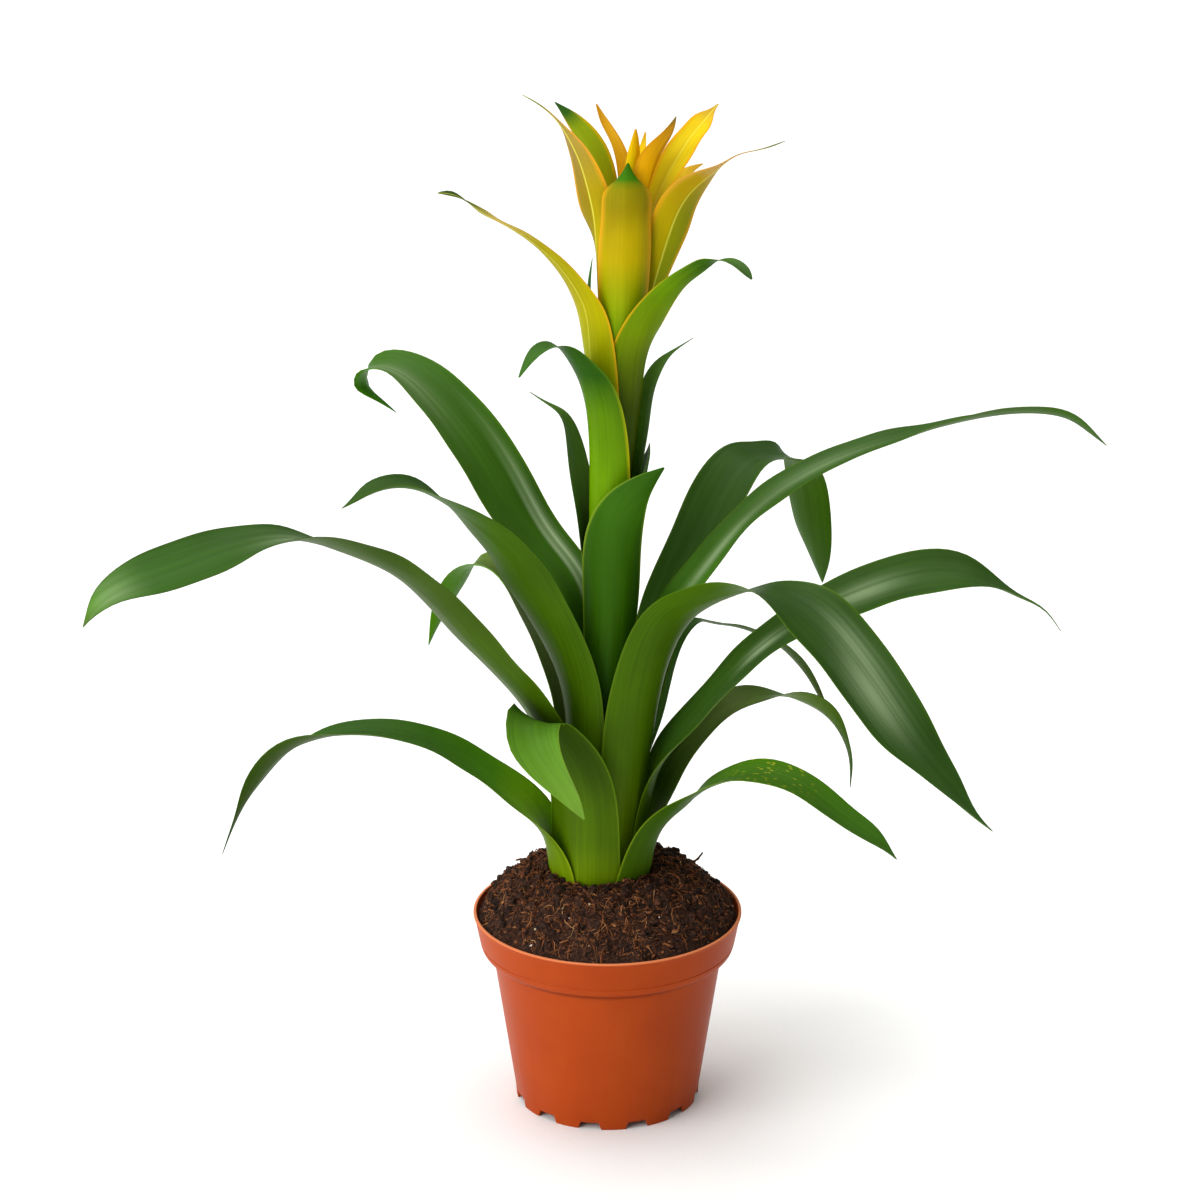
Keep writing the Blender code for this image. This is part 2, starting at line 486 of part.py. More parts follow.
def build():
    for old in list(bpy.data.objects):
        bpy.data.objects.remove(old, do_unlink=True)
    crown = (CROWN_X, 0.0, POT_HEIGHT)
    add_pot()
    add_soil()
    add_stem(crown)
    leaf_skin = material("leaf_green", LEAF_GREEN, 0.35)
    for name, facing, ring, base_width, blade in ROSETTE:
        stations = [(0, CROWN_BASE_UP, base_width, 0), *blade]
        root_radius = CROWN_RADIUS - ring * RING_STEP
        points, faces = leaf_shell(facing, root_radius, stations, LEAF_ROW_LENGTH, LEAF_THICKNESS)
        add_object(name, points, faces, leaf_skin, crown)
    bract_skin = material("bract_green", BRACT_GREEN, 0.4)
    flower_skin = material("bract_yellow", BRACT_YELLOW, 0.4)
    for name, facing, blade in BRACTS:
        points, faces = leaf_shell(facing, STEM_RADIUS, blade, BRACT_ROW_LENGTH, BRACT_THICKNESS)
        add_object(name, points, faces, flower_skin if name.startswith("flower") else bract_skin, crown)


build()
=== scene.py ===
# %% [markdown]
# # A bromeliad in its nursery pot
#
# This lesson dresses a plain solid model of a potted plant for the camera. The solids give the place and the
# size of every leaf, of the pot and of the potting mix. Here each of them gets a finer body in the same place,
# and a material that is built from shader nodes.
#
# The plant is a strap-leaved bromeliad: a rosette of channelled leaves, a central spike that is clasped by
# leafy bracts, and a star of yellow bracts on top. It grows in a thin plastic pot, in peat and coir.

# %% Load the solid model
import math
import random

import bmesh
import bpy
import numpy as np
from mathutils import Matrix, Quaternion, Vector, noise


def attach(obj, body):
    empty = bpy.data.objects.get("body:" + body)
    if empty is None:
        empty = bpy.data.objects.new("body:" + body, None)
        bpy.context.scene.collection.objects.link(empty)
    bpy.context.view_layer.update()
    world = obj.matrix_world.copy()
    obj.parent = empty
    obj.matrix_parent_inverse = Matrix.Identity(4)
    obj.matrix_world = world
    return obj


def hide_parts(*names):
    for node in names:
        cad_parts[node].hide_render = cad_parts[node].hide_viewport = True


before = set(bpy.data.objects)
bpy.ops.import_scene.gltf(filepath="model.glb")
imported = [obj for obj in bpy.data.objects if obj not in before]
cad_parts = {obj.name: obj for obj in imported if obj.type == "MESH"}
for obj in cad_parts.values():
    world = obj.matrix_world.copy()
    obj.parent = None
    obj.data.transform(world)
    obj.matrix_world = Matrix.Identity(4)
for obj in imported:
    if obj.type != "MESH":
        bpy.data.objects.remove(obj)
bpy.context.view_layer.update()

# %% [markdown]
# ## Measures and small helpers
#
# Plants and pots are measured in millimetres, and Blender's unit is the metre, so tables here are in
# millimetres and one factor turns them into metres. Colours are written as the hex values that a colour
# picker shows. Shaders calculate in linear light, so one function turns a hex value into linear numbers.

# %% Units and colour
MM = 0.001


def linear(colour):
    """An sRGB hex value, such as "7a9a20", as linear red, green and blue."""
    parts = [int(colour[i:i + 2], 16) / 255 for i in (0, 2, 4)]
    return [part / 12.92 if part <= 0.04045 else ((part + 0.055) / 1.055) ** 2.4 for part in parts]


def rgba(colour):
    return (*linear(colour), 1.0)


print("mid green in linear light:", [round(v, 3) for v in linear("4a7a1a")])

# %% [markdown]
# A shader is a net of nodes. Adding one means three things: choose its kind, set its values and link its
# inputs. One small function does all three, so that each material below reads as a list of steps. A value
# that is another node's output becomes a link, and anything else is set on the socket.

# %% One way to add a shader node
def add(tree, kind, inputs=None, stops=None, **settings):
    """Adds a node. inputs maps socket names or numbers to values or to other nodes' outputs."""
    node = tree.nodes.new("ShaderNode" + kind)
    for name, value in settings.items():
        setattr(node, name, value)
    for socket, value in (inputs or {}).items():
        if isinstance(value, bpy.types.NodeSocket):
            tree.links.new(value, node.inputs[socket])
        else:
            node.inputs[socket].default_value = value
    if stops:
        ramp = node.color_ramp.elements
        while len(ramp) < len(stops):
            ramp.new(1.0)
        for element, (place, colour) in zip(ramp, stops):
            element.position = place
            element.color = rgba(colour)
    return node


def new_material(name, **surface):
    """Makes a material with a Principled shader. surface gives the values that are the same all over."""
    made = bpy.data.materials.new(name)
    made.use_nodes = True
    tree = made.node_tree
    shader = tree.nodes["Principled BSDF"]
    for socket, value in surface.items():
        shader.inputs[socket.replace("_", " ")].default_value = value
    return made, tree, shader.inputs


# %% [markdown]
# A mesh is a list of points and a list of faces. Each piece of this object is made that way, so one function
# turns the two lists into an object that moves with the solid model and stands for the solids that it covers.

# %% One way to add a piece
def add_piece(name, points, faces, material, slot, covers=(), sharp=40.0):
    """Makes one mesh object from points in metres, in the frame of the solid model."""
    mesh = bpy.data.meshes.new(name)
    mesh.from_pydata([tuple(point) for point in points], [], faces)
    mesh.validate()
    form = bmesh.new()
    form.from_mesh(mesh)
    bmesh.ops.recalc_face_normals(form, faces=form.faces)
    form.to_mesh(mesh)
    form.free()
    mesh.shade_smooth()
    mesh.set_sharp_from_angle(angle=math.radians(sharp))
    mesh.materials.append(material)
    piece = bpy.data.objects.new(name, mesh)
    bpy.context.scene.collection.objects.link(piece)
    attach(piece, "root")
    for node in covers:
        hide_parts(node)
    return piece


def paint(piece, name, kind, values):
    """Stores one value for each point of the mesh, which a material reads by the attribute's name."""
    layer = piece.data.attributes.new(name, kind, "POINT")
    field = {"FLOAT": "value", "FLOAT_VECTOR": "vector", "FLOAT_COLOR": "color"}[kind]
    layer.data.foreach_set(field, np.asarray(values, np.float32).ravel())


# %% [markdown]
# ## Where the leaves are
#
# A strap leaf is long and narrow and bends in one sweep, so it can be described by its midrib: a few
# stations, each with the distance out from the ring that it grows from, the height above the pot's lip, the
# width and the roll of the blade about its own midrib. A fifth value swings the midrib sideways. The rosette
# leaves start in nested rings round the crown, which is how they hold rain water on the living plant. Each row
# begins with the leaf's name, the angle that it faces, its ring and the width of its base.

# %% The rosette
POT_HEIGHT = 97.0
CROWN_X = -4.0
STEM_RADIUS = 8.6
CROWN_RADIUS = 24.0
RING_STEP = 1.8
CROWN_BASE_UP = 10.0
SOIL_CROWN_UP = 22.0
LEAN = math.tan(math.radians(2.2))

ROSETTE = [
    ("leaf_low_left", 188, 0, 46, [
        (0.2, 25, 45, -2), (5.5, 45, 40, -8), (26, 69, 32, -14), (55, 90, 27, -8), (94, 100, 25, 5),
        (114, 98, 25, 21), (129, 92, 24, 33), (143, 76, 19, 37), (151, 60, 9, 22), (158, 40, 1, 12)]),
    ("leaf_low_right", -20, 0, 50, [
        (1.1, 26, 44, 0), (5.6, 45, 39, -4), (15.3, 59.3, 29, -15), (25.7, 70, 23, -3), (49.3, 82, 21, 9),
        (75, 78.7, 21, 10), (99.5, 64.3, 19, 6), (112.8, 57, 14, 0), (124, 48, 1, -10)]),
    ("leaf_flopped_front", -115, 1, 42, [
        (2.8, 44, 40, 0), (7.8, 79, 36, 0, -2), (15.8, 103, 32, -5, -12), (24.8, 114, 28, -12, -15),
        (32.8, 110, 26, -12, -12), (34.8, 96, 22, -5, -4), (30.8, 80, 12, 0, 7), (28.8, 69, 1, 0, 14)]),
    ("leaf_hook_right", 25, 1, 26, [
        (1.8, 36, 24, 0), (8.8, 56, 22, 8), (18.8, 75, 20, 12), (30.8, 88, 20, 12), (46.8, 97, 20, 9),
        (61.8, 98, 20, -3), (74.8, 96, 20, -17), (86.8, 91, 19, -24), (97.8, 83, 16, -18),
        (106.8, 71, 12, 0), (112.8, 56, 7, 16), (113.8, 40, 1, 22)]),
    ("leaf_back_low", 90, 1, 24, [
        (1.8, 44, 28, 0), (21.8, 72, 34, 0), (55.8, 90, 36, 5), (97.8, 90, 36, 5), (139.8, 64, 32, 0),
        (167.8, 34, 20, 0), (180.8, 12, 1, 0)]),
    ("leaf_mid_right", -3, 2, 29, [
        (0.6, 36, 30, 0), (2.6, 58, 31, 0), (8.6, 81, 31, 5), (22.6, 102, 28, 12), (47.6, 133, 28, 14),
        (74.6, 154, 28, 22), (102.6, 168, 28, 32), (129.6, 176, 28, 30), (145.6, 176, 26, 18),
        (158.6, 172, 20, 0), (172.6, 165, 9, -10), (183.6, 159, 4, -12), (192.6, 148, 1, -10)]),
    ("leaf_long_left", 205, 2, 34, [
        (0.6, 40, 34, 0), (3.6, 72, 36, 4), (26.6, 122, 36, 12), (46.6, 146, 36, 16), (87.6, 190, 36, 17),
        (117.6, 207, 36, 18), (142.6, 216, 36, 8), (166.6, 215, 36, -4), (194.6, 209, 36, -14),
        (217.6, 204, 32, -10), (233.6, 197, 20, 3), (241.6, 187, 1, 12)]),
    ("leaf_back_mid", 98, 2, 24, [
        (1.6, 60, 26, 0), (13.6, 98, 28, 0), (39.6, 122, 30, 0), (74.6, 126, 30, 0), (107.6, 110, 24, 0),
        (123.6, 88, 12, 0), (128.6, 70, 1, 0)]),
    ("leaf_broad_right", -35, 3, 36, [
        (1.4, 60, 40, 0), (3.4, 100, 42, -8), (8.4, 135, 38, -15), (19.4, 159, 36, -22),
        (37.4, 173, 36, -23), (58.4, 182, 36, -16), (73.4, 183, 36, -5), (87.4, 179, 37, 8),
        (111.4, 163, 38, 15), (137.4, 138, 36, 14), (154.4, 122, 32, 5), (171.4, 109, 22, -8),
        (184.4, 99, 10, -20), (195.4, 93, 1, -28)]),
    ("leaf_bent_left", 145, 3, 28, [
        (1.4, 60, 28, 0), (4.4, 83, 24, 8), (10.4, 107, 22, 14), (21.4, 131, 22, 16), (36.4, 153, 22, 14),
        (50.4, 163, 23, 10), (62.4, 162, 24, 0), (71.4, 151, 22, 5), (80.4, 133, 14, 4), (87.4, 114, 1, -10)]),
    ("leaf_thin_right", 50, 3, 8, [
        (1, 40, 9, 0), (5.4, 60, 10, -5), (17.4, 84, 10, -8), (27.4, 108, 9, -8), (36.4, 125, 8, -6),
        (45.4, 130, 8, -4), (61.4, 125.6, 8, -5), (74.4, 120.7, 8, -6), (104.4, 106, 7.5, -8),
        (127.4, 90, 7, -8), (141.4, 76, 6, -8), (153.4, 60, 4, 0), (161.4, 48, 1, 0)]),
    ("leaf_mid_left", 215, 4, 24, [
        (0.7, 80, 32, 0), (3.2, 118, 30, 12), (11.2, 143, 27, 22), (25.2, 169, 26, 30), (43.2, 195, 26, 26),
        (60.2, 213, 26, 14), (78.2, 228, 26, -2), (104.2, 241, 24, 2), (117.2, 241, 20, 12),
        (126.2, 238, 12, 22), (134.2, 235, 1, 28)]),
    ("leaf_folded_right", 52, 4, 17, [
        (1, 50, 17, 0), (4.2, 75, 19, 0), (16.2, 112, 25, -2), (29.2, 143, 30, 0), (51.2, 171, 30, 8),
        (69.2, 193, 30, 10), (87.2, 203, 28, 8), (109.2, 200, 27, 9), (130.2, 192, 27, 10),
        (141.2, 172, 27, 4), (148.2, 149, 25, 6), (155.2, 131, 15, 12), (160.2, 118, 1, 20)]),
    ("leaf_tall_left", 150, 5, 28, [
        (0.5, 105, 30, 0), (2.5, 140, 32, -4), (8, 160, 33, -10), (26, 180, 34, -15), (45, 205, 34, -18),
        (64, 228, 34, -18), (83, 245, 33, -10), (102, 256, 30, -4), (116, 257, 26, -8), (125, 252, 22, -12),
        (126, 244, 18, -15), (119, 239, 12, -18), (107, 233, 1, -25)]),
    ("leaf_long_right", 18, 6, 24, [
        (1.3, 70, 24, 0), (3.8, 105, 25, 0), (7.8, 132, 24, 6), (17.8, 152, 24, 8), (31.8, 170, 24, 6),
        (50.8, 192, 24, 2), (89.8, 216, 24, 1), (129.8, 227, 22, -8), (159.8, 232, 20, -20),
        (201.8, 232, 17, -22), (217.8, 227, 14, -15), (229.8, 218, 8, -8), (237.8, 211, 1, -2)]),
    ("leaf_back_high", 84, 7, 20, [
        (0.2, 100, 20, 0), (1.6, 130, 21, 0), (8.6, 165, 22, 0), (24.6, 189, 24, 0), (48.6, 193, 22, 0),
        (68.6, 178, 14, 0), (78.6, 160, 1, 0)]),
]
highest_leaf = max(station[1] for *_, stations in ROSETTE for station in stations)
print("rosette leaves:", len(ROSETTE), "highest point above the pot's lip in mm:", highest_leaf)

# %% [markdown]
# The bracts up the spike are the same kind of leaf, made smaller. They clasp the stem, so their distances out
# are counted from its full radius. The ones near the top carry the colour that calls in pollinators.

# %% The bracts and the stem
BRACTS = [
    ("bract_front", -90, [
        (0, 94, 20, 0), (3.4, 134, 30, 0), (5.9, 169, 34, 0), (7.4, 199, 30, 0, 1), (8.9, 217, 18, 0, 8),
        (11.4, 232, 1, 0, 22)]),
    ("bract_dark_left", 165, [
        (-0.4, 114, 14, 0), (2.2, 150, 17, 0), (4.6, 178, 18, -8), (7.4, 208, 17, -20),
        (10.4, 225, 15, -22), (13.4, 239, 12, -16), (18.9, 250, 8, 0), (25.4, 254, 5, 10),
        (34.4, 259, 1, 15)]),
    ("bract_right_edge", 5, [
        (-0.4, 114, 16, 0), (1.4, 149, 22, 0), (3.4, 184, 25, 0), (5.4, 219, 22, 0), (6.4, 230, 12, 0),
        (6.8, 237, 1, 0)]),
    ("bract_bright_left", -133, [
        (-0.5, 134, 20, 0), (1.2, 165, 27, 0), (2.4, 189, 31, 0), (3.6, 226, 32, 0), (5.4, 248, 29, 0),
        (9.4, 265, 26, 0), (15.4, 277, 23, 0), (23.4, 287, 18, 0), (35.4, 295, 13, 0), (47.4, 295, 9, 0),
        (59.4, 285, 1, 0)]),
    ("bract_back_low", 84, [
        (-0.5, 134, 12, 0), (0.9, 164, 15, 0), (2.6, 194, 15, 0), (4.2, 214, 10, 0), (5.9, 229, 1, 0)]),
    ("bract_thin_right", 20, [
        (-0.8, 159, 12, 0), (-0.1, 184, 14, 0), (1, 209, 14, 6), (2.7, 229, 14, 12), (4.9, 249, 13, 12),
        (7.4, 266, 12, 10), (12.4, 275, 9, 0), (18.4, 280, 5, -15), (27.4, 285, 1, -20)]),
    ("bract_back_high", 120, [
        (-1, 184, 12, 0), (1.6, 214, 13, 0), (3.9, 239, 13, 0), (5.9, 259, 10, 0), (7.4, 271, 1, 0)]),
    ("bract_long_tipped", -155, [
        (-1.1, 199, 18, 0), (1.3, 229, 25, 0), (4.2, 261, 28, 5), (7.2, 287, 26, 14), (10.4, 305.5, 20, 20),
        (17.4, 319, 14, 22), (27.4, 331, 10, 22), (37.4, 340, 7.5, 22), (46.4, 346.5, 6.5, 20),
        (56.4, 352.5, 5, 15), (63.4, 357, 5.5, 26), (72, 363.5, 4, 0), (78.4, 367, 5, -20),
        (85.8, 368.5, 1, -20)]),
    ("bract_arched_right", -50, [
        (-1.4, 214, 18, 0), (0.2, 239, 24, 0), (2, 264, 28, 0), (3.6, 283, 27, -5), (7.4, 296, 22, -16),
        (15.4, 310, 17, -22), (28.4, 323.5, 12, -28), (41.4, 333, 9, -34), (49.4, 338, 7, -25),
        (54.4, 339.8, 5.5, -10), (62.4, 341.3, 5.5, 6), (70.4, 340.3, 5.5, 10), (75.4, 338, 4, 12),
        (78.4, 336, 1, 15)]),
    ("bract_small_left", 182, [
        (-1.5, 229, 10, 0), (0.7, 254, 12, 0), (3.4, 279, 14, 0), (6.1, 299, 14, 0), (7.2, 310, 11, 0),
        (7, 319, 6, 0), (6.2, 327, 1, 0)]),
    ("flower_front", -92, [
        (-1.6, 254, 12, 0), (0.4, 274, 18, 0), (3, 294, 25, 0), (4.7, 314, 28, 0), (5, 336, 29, 0),
        (4.6, 352, 27, 0), (4.4, 361, 24, 0), (4.2, 367, 11, 0), (3.4, 375, 1, 0)]),
    ("flower_right_outer", -10, [
        (-2.2, 262, 7, 0), (-0.4, 284, 8, 0), (2, 300, 9, -20), (4.9, 313, 11, -60), (8.5, 328, 16, -66),
        (11.9, 341, 20, -64), (15.6, 352, 22, -52), (21.7, 362, 21, -42), (28.5, 368.5, 14, -32),
        (34.8, 373.5, 5, -20), (41.4, 378, 3, -14), (51.4, 381, 2.5, -14), (58.4, 383.5, 3, -14),
        (62.9, 385.5, 1, -14)]),
    ("flower_left_outer", 188, [
        (-1.9, 267, 8, 0), (0.2, 287, 12, 0), (2.6, 309, 14, 0), (4.4, 333, 15, 14), (6.2, 347, 19, 46),
        (9.8, 362, 19, 45), (13.5, 374, 16, 38), (18.4, 384, 11, 30), (23.2, 391, 5, 20),
        (29.4, 397.5, 3, 15), (35.4, 402, 2.5, 15), (41.4, 405.5, 1, 15)]),
    ("flower_back_right", 32, [
        (-2.7, 272, 10, 0), (-1.6, 292, 11, 0), (0.6, 314, 13, 0), (4.9, 335, 14, 0), (10.9, 349, 13, 0),
        (17.9, 358.5, 11, 0), (25.4, 364, 8, 0), (32.4, 366, 1, 0)]),
    ("flower_back_left", 128, [
        (-2.6, 282, 10, 0), (-1, 302, 13, 0), (1, 322, 14, 0), (3.9, 342, 10, 0), (6.9, 354, 1, 0)]),
    ("flower_right", 25, [
        (-3, 290, 11, 0), (-1.6, 310, 13, 0), (0.9, 332, 15, 0), (5.4, 351, 15, 2), (11.2, 364, 16, 14),
        (17.8, 375, 16, 24), (24.4, 383.5, 13, 26), (29.9, 389, 10, 25), (32.9, 392, 4, 20),
        (35.9, 395, 1, 15)]),
    ("flower_green_left", 158, [
        (-3.8, 300, 9, 0), (-2.6, 320, 12, 0), (-1.1, 339, 14, 0), (1.2, 356, 15, -4), (5.9, 370, 17, -10),
        (12.9, 382, 16, -12), (20.4, 390, 11, -10), (25, 394, 6, -5), (28.8, 397, 1, 0)]),
    ("flower_orange", -14, [
        (-3.9, 306, 8, 0), (-2.9, 326, 12, 0), (-1.7, 342, 15, 0), (-0.4, 354, 18, -5), (1.2, 364, 20, -14),
        (4, 375.5, 19, -22), (8.7, 385.7, 13, -20), (11, 390.5, 8, -15), (12.6, 395, 1, -10)]),
    ("flower_back_point", 115, [
        (-4.3, 312, 7, 0), (-3.4, 332, 8, 0, -0.5), (-2.1, 350, 9, 0, -2), (1.4, 363, 9, 10, -3.2),
        (9.4, 377, 7.5, 15, -2), (18.4, 385, 5.5, 15), (25.9, 392, 1, 20, 1)]),
    ("flower_heart_front", -60, [
        (-4.6, 316, 6, 0), (-4, 340, 8, 0), (-3.3, 362, 9, 0), (-3.4, 378, 7, 0), (-3.6, 389, 1, 0)]),
    ("flower_heart_back", 38, [
        (-5, 320, 6, 0), (-4.2, 342, 7, 0), (-2.6, 362, 7, 0), (-0.8, 375, 6, 0), (0.6, 385, 1, 0)]),
]

STEM_TAPER = [
    (10, 0), (60, 0.4), (94, 1.4), (134, 2), (184, 2.5), (239, 3), (262, 3.5), (282, 4.1), (300, 4.9),
    (316, 5.9), (328, 6.6)]
print("bracts:", len(BRACTS), "stem's height above the pot's lip in mm:", STEM_TAPER[-1][0])

# %% [markdown]
# ## From a midrib to a blade
#
# A smooth curve through the stations gives the midrib. Each cross-section is an arc: where the leaf clasps
# the plant the arc wraps round it, and along the free blade it is a shallow channel. This is the same rule
# that shaped the solids, read at many more places, so that the fine leaf lies where the solid one does.

# %% The curve through the stations
LEAF_CUP = 24.0


def smooth_through(knots, values, places):
    """Reads a natural cubic spline through the values at the knots."""
    step = np.diff(knots)
    slope = np.diff(values, axis=0) / step[:, None]
    count = len(knots)
    system = np.eye(count)
    right = np.zeros_like(values)
    for i in range(1, count - 1):
        system[i, i - 1:i + 2] = step[i - 1], 2.0 * (step[i - 1] + step[i]), step[i]
        right[i] = 6.0 * (slope[i] - slope[i - 1])
    bend = np.linalg.solve(system, right)
    piece = np.clip(np.searchsorted(knots, places) - 1, 0, count - 2)
    before = (places - knots[piece])[:, None]
    after = (knots[piece + 1] - places)[:, None]
    width = step[piece][:, None]
    low = (values[piece] / width - bend[piece] * width / 6.0) * after
    high = (values[piece + 1] / width - bend[piece + 1] * width / 6.0) * before
    return (bend[piece] * after**3 + bend[piece + 1] * before**3) / (6.0 * width) + low + high


def midrib(root_radius, stations, row_length):
    """Returns evenly spaced stations, the direction of growth at each and the distance along the blade."""
    table = np.array([(*station, 0.0)[:5] for station in stations], float)
    table[:, 0] += root_radius
    steps = np.linalg.norm(np.diff(table[:, [0, 1, 4]], axis=0), axis=1)
    knots = np.concatenate([[0.0], np.cumsum(steps)])
    places = np.linspace(0.0, knots[-1], max(12, round(knots[-1] / row_length)) + 1)
    ahead = smooth_through(knots, table, np.minimum(places + 0.5, knots[-1]))
    behind = smooth_through(knots, table, np.maximum(places - 0.5, 0.0))
    return smooth_through(knots, table, places), ahead - behind, places


first_name, _, _, _, first_stations = ROSETTE[0]
print("length of", first_name, "in mm:", round(midrib(0.0, first_stations, 10.0)[2][-1]))

# %% [markdown]
# What makes a leaf look grown and not cut out of sheet is small: it is thickest along the midrib and thin at
# its margins, the midrib is a fine crease on the upper face, and the margins ripple a little where the blade
# is free. The ripple is a sine wave along the blade, strongest at the margins, and each leaf starts it at
# another place.

# %% The body of one blade
MIDRIB_CREASE = 0.22
CREASE_WIDTH = 1.4
MARGIN_SHARE = 0.35


def blade_body(facing, root_radius, stations, number, build):
    """Returns the closed body of a leaf in millimetres, with what the materials need to know of each point."""
    angle = math.radians(facing)
    forward = np.array([math.cos(angle), math.sin(angle), 0.0])
    sideways = np.array([-math.sin(angle), math.cos(angle), 0.0])
    upwards = np.array([0.0, 0.0, 1.0])
    line, runs, places = midrib(root_radius, stations, build["row_length"])
    rows = len(line)
    columns = build["columns"]
    share = np.linspace(-1.0, 1.0, columns)
    upper, lower, place = [], [], []
    for row in range(rows):
        out, up, width, roll, side = line[row]
        width = max(width, 0.8)
        tangent = forward * runs[row][0] + sideways * runs[row][4] + upwards * runs[row][1]
        tangent /= np.linalg.norm(tangent)
        across = sideways - tangent * (sideways @ tangent)
        across /= np.linalg.norm(across)
        face = np.cross(tangent, across)
        turn = math.radians(roll)
        across, face = (
            across * math.cos(turn) + face * math.sin(turn),
            face * math.cos(turn) - across * math.sin(turn),
        )
        hug = width / (2.0 * max(math.hypot(out, side), 1.0))
        half_angle = (hug**6 + math.radians(LEAF_CUP) ** 6) ** (1.0 / 6.0)
        radius = width / (2.0 * half_angle)
        free = 1.0 - (hug / half_angle) ** 6
        settle = free * radius * (1.0 - math.cos(half_angle)) / 2.0
        middle = forward * out + sideways * side + upwards * up - face * settle
        arc = (share * half_angle)[:, None]
        section = middle + radius * (face * (1.0 - np.cos(arc)) + across * np.sin(arc))
        normal = face * np.cos(arc) - across * np.sin(arc)
        wave = math.sin(places[row] / 9.0 + number * 2.4) + 0.6 * math.sin(places[row] / 5.3 + number * 1.7)
        swing = build["ripple"] * free * wave * min(1.0, width / 20.0)
        lift = swing * np.abs(share) ** 3 * np.where(share > 0, 1.0, -0.8)
        from_midrib = share * width / 2.0
        crease = -MIDRIB_CREASE * min(1.0, width / 14.0) * np.exp(-((from_midrib / CREASE_WIDTH) ** 2))
        section = section + normal * (lift + crease)[:, None]
        taper = min(1.0, 0.45 + width / 16.0)
        body = build["thickness"] * taper * (MARGIN_SHARE + (1.0 - MARGIN_SHARE) * (1.0 - share**4)) / 2.0
        upper.append(section + normal * body[:, None])
        lower.append(section - normal * body[:, None])
        place.append([(offset, places[row], number * 37.0) for offset in from_midrib])
    points = np.concatenate([np.array(upper).reshape(-1, 3), np.array(lower).reshape(-1, 3)])
    points[:, 0] += LEAN * (points[:, 2] - SOIL_CROWN_UP) + CROWN_X
    points[:, 2] += POT_HEIGHT
    under = rows * columns
    faces = []
    for row in range(rows - 1):
        for column in range(columns - 1):
            corner = row * columns + column
            ring = (corner, corner + 1, corner + 1 + columns, corner + columns)
            faces.append(ring)
            faces.append(tuple(under + index for index in reversed(ring)))
    outline = list(range(columns))
    outline += [row * columns + columns - 1 for row in range(1, rows)]
    outline += [(rows - 1) * columns + column for column in range(columns - 2, -1, -1)]
    outline += [row * columns for row in range(rows - 2, 0, -1)]
    for here, there in zip(outline, outline[1:] + outline[:1]):
        faces.append((there, here, under + here, under + there))
    facts = {
        "along": np.tile(np.repeat(places / places[-1], columns), 2),
        "upper": np.repeat([1.0, 0.0], under),
        "share": np.tile(share, 2 * rows),
        "place": np.tile(np.concatenate(place), (2, 1)) * MM,
    }
    return points * MM, faces, facts


print("crease along a midrib in mm:", MIDRIB_CREASE, "deep and", CREASE_WIDTH, "to each side")

# %% [markdown]
# ## The living leaf
#
# A bromeliad leaf is green tissue under a clear waxy skin, the cuticle. The tissue gives the colour: deep
# green on the upper face, lighter and yellower underneath and near the base. Light passes into it a little,
# which a small amount of subsurface scattering gives. The cuticle gives a satin sheen, with a refractive
# index near 1.45. On the upper face a pale colour in fine streaks 3.2 mm wide is painted in: a thin waxy film,
# but mostly a painted sheen, where light glances off the waxy skin. Parallel veins run the length of the
# blade about 0.9 mm apart, and tissue is mottled in patches 14 mm wide. Each of the three is a noise pattern
# that is stretched along the blade: the table holds its width and its length in millimetres.
#
# The colours differ from leaf to leaf, so they are painted on the mesh from the tables further down. One
# material reads those layers by name and adds the veins, the mottling, the painted sheen, the pale line along
# the midrib, the margin and the flecks, which are 1.7 mm apart.

# %% The leaf material
LEAF_PATTERNS = {"veins": (0.9, 90.0), "mottle": (14.0, 42.0), "streaks": (3.2, 360.0)}
FLECK_SPACING = 1.7
MIDLINE_WIDTH = 0.6
LEAF_LAYERS = ("colour_with_painted_light", "painted_sheen", "midline", "share", "margin", "flecked", "place")


